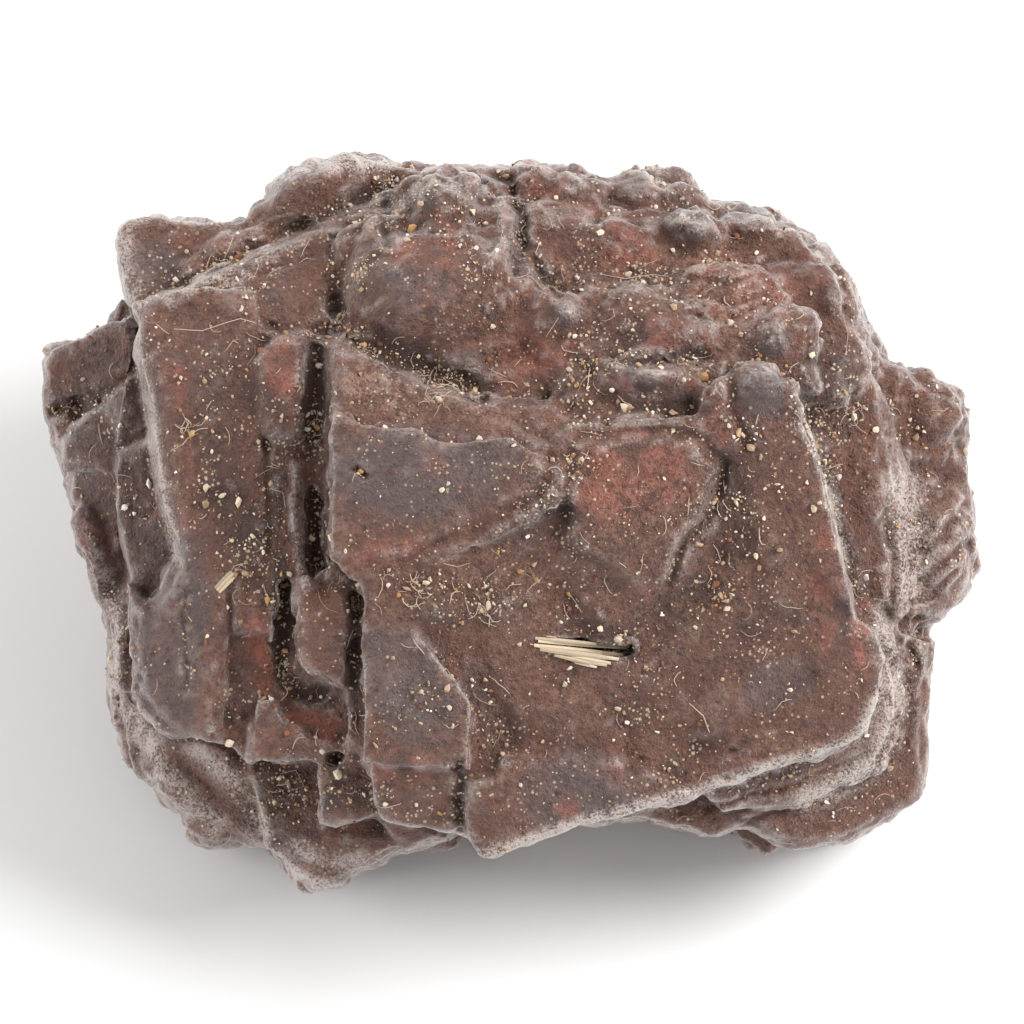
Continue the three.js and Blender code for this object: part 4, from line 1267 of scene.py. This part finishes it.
@dataclass
class SandGrains:
    """Desert sand caught on the stone: thousands of small grains in one piece."""

    lodging: Lodging
    count: int = 8800
    seed: int = 5
    middle: float = 0.05
    spread: float = 0.55
    sizes: Span = (0.03, 0.24)
    sunk: float = 0.3
    mixture: tuple[tuple[Tone, float], ...] = (
        (Tone.TAN, 0.34),
        (Tone.CREAM, 0.3),
        (Tone.WHITE, 0.12),
        (Tone.OCHRE, 0.08),
        (Tone.RUST, 0.08),
        (Tone.EARTH, 0.08),
    )
    pebbles: tuple[Pebble, ...] = (
        Pebble((-17.9, 1.9), 0.3, Tone.WHITE),
        Pebble((-13.4, 1.0), 0.25, Tone.CREAM),
        Pebble((-12.4, 4.0), 0.17, Tone.CREAM),
        Pebble((-10.0, 5.3), 0.2, Tone.WHITE),
        Pebble((-8.5, 6.4), 0.14, Tone.WHITE),
        Pebble((-14.2, 1.3), 0.15, Tone.CREAM),
        Pebble((-15.0, 1.7), 0.18, Tone.CREAM),
        Pebble((-15.7, 4.4), 0.2, Tone.OCHRE),
        Pebble((-4.0, -3.0), 0.22, Tone.CREAM),
        Pebble((-5.0, -3.3), 0.2, Tone.TAN),
        Pebble((-5.4, -3.6), 0.16, Tone.OCHRE),
        Pebble((-8.0, -4.4), 0.15, Tone.CREAM),
        Pebble((-11.1, -6.4), 0.22, Tone.OCHRE),
        Pebble((-11.0, -7.0), 0.18, Tone.CREAM),
        Pebble((-11.1, -7.6), 0.2, Tone.TAN),
        Pebble((-13.8, -11.0), 0.24, Tone.CREAM),
        Pebble((-9.3, -8.7), 0.17, Tone.CREAM),
        Pebble((-7.8, -10.2), 0.14, Tone.CREAM),
        Pebble((-1.0, -4.1), 0.24, Tone.CREAM),
        Pebble((-1.3, -4.4), 0.16, Tone.TAN),
        Pebble((-1.8, -7.8), 0.17, Tone.WHITE),
        Pebble((-7.4, -17.8), 0.2, Tone.WHITE),
        Pebble((9.7, 7.2), 0.24, Tone.OCHRE),
        Pebble((5.8, 5.7), 0.28, Tone.CREAM),
        Pebble((7.0, 5.2), 0.2, Tone.RUST),
        Pebble((-4.7, 14.6), 0.3, Tone.OCHRE),
        Pebble((-1.6, 13.6), 0.16, Tone.WHITE),
        Pebble((-2.4, 13.7), 0.13, Tone.WHITE),
        Pebble((11.3, 1.0), 0.2, Tone.CREAM),
        Pebble((10.8, -3.9), 0.24, Tone.TAN),
        Pebble((17.2, 5.3), 0.26, Tone.CREAM),
        Pebble((17.6, 5.1), 0.18, Tone.TAN),
        Pebble((12.4, 13.4), 0.16, Tone.CREAM),
        Pebble((4.6, 14.4), 0.15, Tone.CREAM),
    )

    def build(self) -> bpy.types.Object:
        """Scatters the grains over the stone and gives them as one piece."""
        random = np.random.default_rng(self.seed)
        places, normals = self.lodging.places(random, self.count)
        radius = np.clip(random.lognormal(math.log(self.middle), self.spread, self.count), *self.sizes) * MM
        tones, odds = zip(*self.mixture)
        which = random.choice(len(tones), self.count, p=odds)
        tint = np.array([tone.value for tone in tones])[which]
        for number, pebble in enumerate(self.pebbles):
            place, normal = self.lodging.drop(*pebble.at)
            places[number], normals[number] = place, normal
            radius[number], tint[number] = pebble.size * MM, pebble.tone.value
        grain, faces = self._one_grain()
        turn = np.linalg.qr(random.normal(size=(self.count, 3, 3)))[0]
        stretch = random.uniform(0.45, 1.35, (self.count, 1, 3))
        rough = grain[None] * random.uniform(0.5, 1.25, (self.count, len(grain), 1))
        shapes = np.einsum("gij,gkj->gki", turn, rough * stretch) * radius[:, None, None]
        shapes += (places + normals * (self.sunk * radius)[:, None])[:, None]
        index = faces[None] + (np.arange(self.count) * len(grain))[:, None, None]
        tint = np.repeat(tint * random.uniform(0.75, 1.2, (self.count, 1)), len(grain), axis=0)
        material = tinted("desert_sand", 0.75)
        return piece_from("sand_grains", shapes.reshape(-1, 3), index.reshape(-1, 3), tint, material)

    def _one_grain(self) -> tuple[Array, Array]:
        """Models one grain as a low sphere and gives its vertices and faces."""
        bpy.ops.object.select_all(action="DESELECT")
        bpy.ops.mesh.primitive_ico_sphere_add(subdivisions=1, radius=1)
        grain = bpy.context.object
        points = np.array([vertex.co for vertex in grain.data.vertices])
        faces = np.array([face.vertices[:] for face in grain.data.polygons])
        bpy.data.objects.remove(grain)
        return points, faces


def strand(path: Sequence[Vector], width: float, thickness: float, up: Vector) -> tuple[Array, Array]:
    """Models a thin flat strand with pointed ends along a path.

    Args:
        path: The points it runs through.
        width: How wide it is in the middle.
        thickness: How thick it is in the middle.
        up: The direction of its thickness.

    Returns:
        Its vertices and its four-cornered faces.
    """
    points, faces = [], []
    last = len(path) - 1
    for number, place in enumerate(path):
        along = (path[min(number + 1, last)] - path[max(number - 1, 0)]).normalized()
        side = along.cross(up).normalized()
        over = side.cross(along)
        share = 0.45 + 0.55 * math.sin(math.pi * (number + 0.5) / (last + 1)) ** 0.5
        for out, lift in ((1, 0), (0, 1), (-1, 0), (0, -1)):
            points.append(place + side * (out * width * share / 2) + over * (lift * thickness * share / 2))
    for ring in range(last):
        for side in range(4):
            first, second = ring * 4 + side, ring * 4 + (side + 1) % 4
            faces.append((first, second, second + 4, first + 4))
    faces.append((3, 2, 1, 0))
    faces.append(tuple(last * 4 + side for side in range(4)))
    return np.array(points), np.array(faces)


class Bundle:
    """Strands that are gathered into one piece."""

    def __init__(self) -> None:
        """Starts with no strand."""
        self.points, self.faces, self.tints, self.total = [], [], [], 0

    def add(self, path: Sequence[Vector], width: float, thickness: float, up: Vector, tint: Array) -> None:
        """Adds a strand.

        Args:
            path: The points it runs through.
            width: How wide it is in the middle.
            thickness: How thick it is in the middle.
            up: The direction of its thickness.
            tint: Its colour.
        """
        shape, index = strand(path, width, thickness, up)
        self.points.append(shape)
        self.faces.append(index + self.total)
        self.tints.append(np.tile(tint, (len(shape), 1)))
        self.total += len(shape)

    def piece(self, name: str, material: bpy.types.Material) -> bpy.types.Object:
        """Makes one piece of all its strands."""
        points, faces, tints = (np.concatenate(part) for part in (self.points, self.faces, self.tints))
        return piece_from(name, points, faces, tints, material)


@dataclass
class LintFibres:
    """Short pale hairs and plant fibres that cling to the stone, in one piece."""

    lodging: Lodging
    count: int = 420
    seed: int = 21
    lengths: Span = (0.3, 1.3)
    tuft_lengths: Span = (0.4, 1.2)
    widths: Span = (0.025, 0.05)
    shades: Span = (0.45, 0.95)
    lift: float = 0.06
    tuft_lift: float = 0.12
    lint_share: float = 0.75
    steps: int = 6
    tufts: tuple[tuple[tuple[float, float], float, int], ...] = (
        ((-3.3, 6.6), 0.8, 26),
        ((-15.8, 4.6), 0.5, 12),
        ((-4.9, -3.3), 0.7, 12),
        ((-1.1, -4.2), 0.5, 8),
        ((17.2, 5.2), 0.5, 8),
    )
    threads: tuple[tuple[tuple[float, float], ...], ...] = (
        ((-16.6, 9.6), (-15.2, 9.5), (-14.0, 9.9), (-13.3, 10.1), (-12.6, 9.9)),
        ((1.9, 9.2), (2.5, 10.1), (2.7, 11.1)),
        ((4.6, 12.3), (5.8, 12.1), (7.2, 12.3), (8.0, 12.2)),
        ((16.6, 10.4), (16.9, 9.4), (16.8, 8.4)),
        ((-7.0, 15.4), (-6.6, 15.0), (-6.9, 14.6), (-6.4, 14.9)),
        ((-9.6, -2.9), (-9.3, -3.9), (-9.0, -4.3), (-8.4, -4.5)),
        ((-3.2, -2.0), (-2.5, -2.2), (-1.9, -2.0)),
        ((9.0, -9.0), (9.7, -9.6), (10.0, -10.4)),
        ((-11.4, -12.6), (-10.6, -12.4), (-10.2, -13.2), (-10.8, -13.4)),
    )

    def build(self) -> bpy.types.Object:
        """Lays the fibres on the stone and gives them as one piece."""
        random = np.random.default_rng(self.seed)
        places, _ = self.lodging.places(random, self.count)
        paths = [
            self._curl(random, Vector(place), random.uniform(*self.lengths), self.lift) for place in places
        ]
        for at, spread, number in self.tufts:
            for _ in range(number):
                shift = random.normal(0, spread / 2, 2)
                place, _ = self.lodging.drop(at[0] + shift[0], at[1] + shift[1])
                paths.append(self._curl(random, place, random.uniform(*self.tuft_lengths), self.tuft_lift))
        for thread in self.threads:
            corners = [self.lodging.drop(*corner) for corner in thread]
            paths.append([place + normal * self.lift * MM for place, normal in corners])
        fibres = Bundle()
        for path in paths:
            width = random.uniform(*self.widths) * MM
            up = self.lodging.rest(path[0])[1]
            tone = Tone.LINT if random.random() < self.lint_share else Tone.STRAW
            fibres.add(path, width, width, up, np.array(tone.value) * random.uniform(*self.shades))
        return fibres.piece("lint_fibres", tinted("lint", 0.8, 0.4))

    def _curl(self, random: np.random.Generator, start: Vector, length: float, lift: float) -> list[Vector]:
        """Lays one curled fibre over the surface.

        Args:
            random: Where its shape comes from.
            start: Where it begins.
            length: Its length in millimetres.
            lift: How high it stands off the surface in its middle, in millimetres.

        Returns:
            The points it runs through.
        """
        place, normal = self.lodging.rest(start)
        way = normal.orthogonal().normalized()
        way.rotate(Matrix.Rotation(random.uniform(0, 2 * math.pi), 3, normal))
        bend, path = random.normal(0, 0.18), []
        for number in range(self.steps + 1):
            arch = math.sin(math.pi * number / self.steps) * lift + 0.03
            path.append(place + normal * arch * MM)
            way.rotate(Matrix.Rotation(bend + random.normal(0, 0.25), 3, normal))
            place, normal = self.lodging.rest(place + way * (length / self.steps * MM))
            way = (way - normal * way.dot(normal)).normalized()
        return path


@dataclass
class StrawSplinter:
    """A splinter of dry straw, split into slivers, that is wedged in the slot of the broad face."""

    lodging: Lodging
    face: FaceFrame
    seed: int = 3
    thickness: float = 0.08
    raised: Span = (0.1, 0.2)
    arch: float = 0.05
    sway: float = 0.015
    shades: Span = (0.55, 1.05)
    steps: int = 8
    slivers: tuple[tuple[tuple[float, float], tuple[float, float], float], ...] = (
        ((1.35, -5.75), (4.4, -6.05), 0.2),
        ((1.5, -5.9), (5.9, -6.25), 0.2),
        ((1.3, -6.1), (5.2, -6.55), 0.24),
        ((1.7, -6.15), (5.7, -6.6), 0.22),
        ((1.6, -6.3), (4.9, -6.75), 0.24),
        ((2.1, -6.35), (5.5, -6.8), 0.22),
        ((2.0, -6.45), (4.6, -6.9), 0.22),
        ((2.6, -6.6), (5.1, -7.0), 0.2),
        ((3.0, -6.8), (4.9, -7.1), 0.18),
        ((2.3, -6.6), (4.1, -7.0), 0.18),
        ((3.3, -6.95), (4.4, -7.2), 0.14),
        ((1.9, -5.65), (3.3, -5.85), 0.08),
        ((3.4, -5.95), (5.3, -6.2), 0.1),
        ((1.1, -6.05), (2.6, -6.35), 0.08),
        ((-14.55, -3.3), (-13.75, -2.45), 0.2),
        ((-14.45, -3.4), (-13.65, -2.55), 0.2),
        ((-14.35, -3.5), (-13.6, -2.75), 0.16),
    )

    def build(self) -> bpy.types.Object:
        """Lays the slivers side by side and gives them as one piece."""
        random = np.random.default_rng(self.seed)
        up, splinter = self.face.axis("w"), Bundle()
        for start, end, width in self.slivers:
            first, last = (self.lodging.drop(*at)[0] for at in (start, end))
            path, raised = [], random.uniform(*self.raised)
            for step in range(self.steps + 1):
                share = step / self.steps
                sway = random.normal(0, self.sway)
                lift = raised + self.arch * math.sin(3 * share) + sway
                path.append(first.lerp(last, share) + up * lift * MM)
            tint = np.array(Tone.STRAW.value) * random.uniform(*self.shades)
            splinter.add(path, width * MM, self.thickness * MM, up, tint)
        return splinter.piece("straw_splinter", tinted("dry_straw", 0.6))


# ---------------------------------------------------------------------------------------------------------
# Studio
# ---------------------------------------------------------------------------------------------------------


@dataclass(frozen=True)
class Lamp:
    """A round soft lamp that looks at the stone from where it hangs, given along u, v and w."""

    name: str
    toward: tuple[float, float, float]
    size: float
    power: float
    away: float = 0.4

    def hang(self, face: FaceFrame) -> None:
        """Hangs the lamp over the stone's broad face."""
        way = sum((face.axis(axis) * share for axis, share in zip("uvw", self.toward)), Vector())
        bpy.ops.object.select_all(action="DESELECT")
        bpy.ops.object.light_add(type="AREA", location=face.point(0, 0, 0) + way.normalized() * self.away)
        lamp = bpy.context.object
        lamp.name = self.name
        lamp.data.shape = "DISK"
        lamp.data.size = self.size
        lamp.data.energy = self.power
        lamp.rotation_euler = way.to_track_quat("Z", "Y").to_euler()


@dataclass
class Studio:
    """A plain pale table, soft light and the camera."""

    face: FaceFrame
    distance: float = 0.7
    width_seen: float = 0.0512
    aim: tuple[float, float, float] = (0.2, 0.5, 4)
    overhead: Span = (0.35, 0.95)
    brightness: Span = (1.15, 0.3)
    lamps: tuple[Lamp, ...] = (
        Lamp("key_lamp", (0.78, 0.4, 0.62), 0.26, 2.1),
        Lamp("left_lamp", (-0.95, 0.1, 0.3), 0.3, 0.9),
    )

    def build(self) -> None:
        """Sets up the floor, the lights and the camera."""
        self._floor()
        self._lights()
        self._camera()

    def _floor(self) -> None:
        """Lays a pale matt floor."""
        bpy.ops.object.select_all(action="DESELECT")
        bpy.ops.mesh.primitive_plane_add(size=6)
        floor = bpy.context.object
        floor.name = "pale_table"
        paint = Paint("pale_table")
        floor.data.materials.append(paint.finish(Base_Color=(0.9, 0.9, 0.9, 1), Roughness=0.9))

    def _lights(self) -> None:
        """Hangs a broad lamp at the upper right and a weaker one at the left, in a pale room.

        The room is brightest around the stone and darkest behind the camera.
        """
        scene = bpy.context.scene
        world = bpy.data.worlds.new("pale_room")
        world.use_nodes = True
        nodes, links = world.node_tree.nodes, world.node_tree.links
        way = nodes.new("ShaderNodeTexCoord").outputs["Generated"]
        overhead = nodes.new("ShaderNodeVectorMath")
        overhead.operation = "DOT_PRODUCT"
        overhead.inputs[1].default_value = self.face.axis("w")
        links.new(way, overhead.inputs[0])
        fade = nodes.new("ShaderNodeMapRange")
        fade.interpolation_type = "SMOOTHSTEP"
        links.new(overhead.outputs["Value"], fade.inputs["Value"])
        sockets = ("From Min", "From Max", "To Min", "To Max")
        for name, value in zip(sockets, self.overhead + self.brightness):
            fade.inputs[name].default_value = value
        nodes["Background"].inputs["Color"].default_value = (1, 1, 1, 1)
        links.new(fade.outputs["Result"], nodes["Background"].inputs["Strength"])
        scene.world = world
        scene.view_settings.view_transform = "Standard"
        for lamp in self.lamps:
            lamp.hang(self.face)

    def _camera(self) -> None:
        """Looks straight down on the broad face."""
        u, v, w = (self.face.axis(name) for name in "uvw")
        data = bpy.data.cameras.new("camera")
        data.sensor_width = 36
        data.lens = data.sensor_width * self.distance / self.width_seen
        data.clip_end = 10
        camera = bpy.data.objects.new("camera", data)
        bpy.context.scene.collection.objects.link(camera)
        place = self.face.point(*self.aim) + w * self.distance
        camera.matrix_world = Matrix.Translation(place) @ Matrix((u, v, w)).transposed().to_4x4()
        bpy.context.scene.camera = camera


def main() -> None:
    """Builds the stone, what lies on it and the studio."""
    logging.basicConfig(level=logging.INFO, format="%(message)s")
    face = FaceFrame()
    stone = StoneBody(face).build()
    stone.data.materials.append(StoneFinish().material())
    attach(stone, "root")
    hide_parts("stone")
    log.info("worn_stone: %d triangles", len(stone.data.polygons))
    lodging = Lodging(stone, face, 5)
    for loose in (SandGrains(lodging), LintFibres(lodging), StrawSplinter(lodging, face)):
        piece = loose.build()
        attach(piece, "root")
        log.info("%s: %d faces", piece.name, len(piece.data.polygons))
    Studio(face).build()


if __name__ == "__main__":
    main()
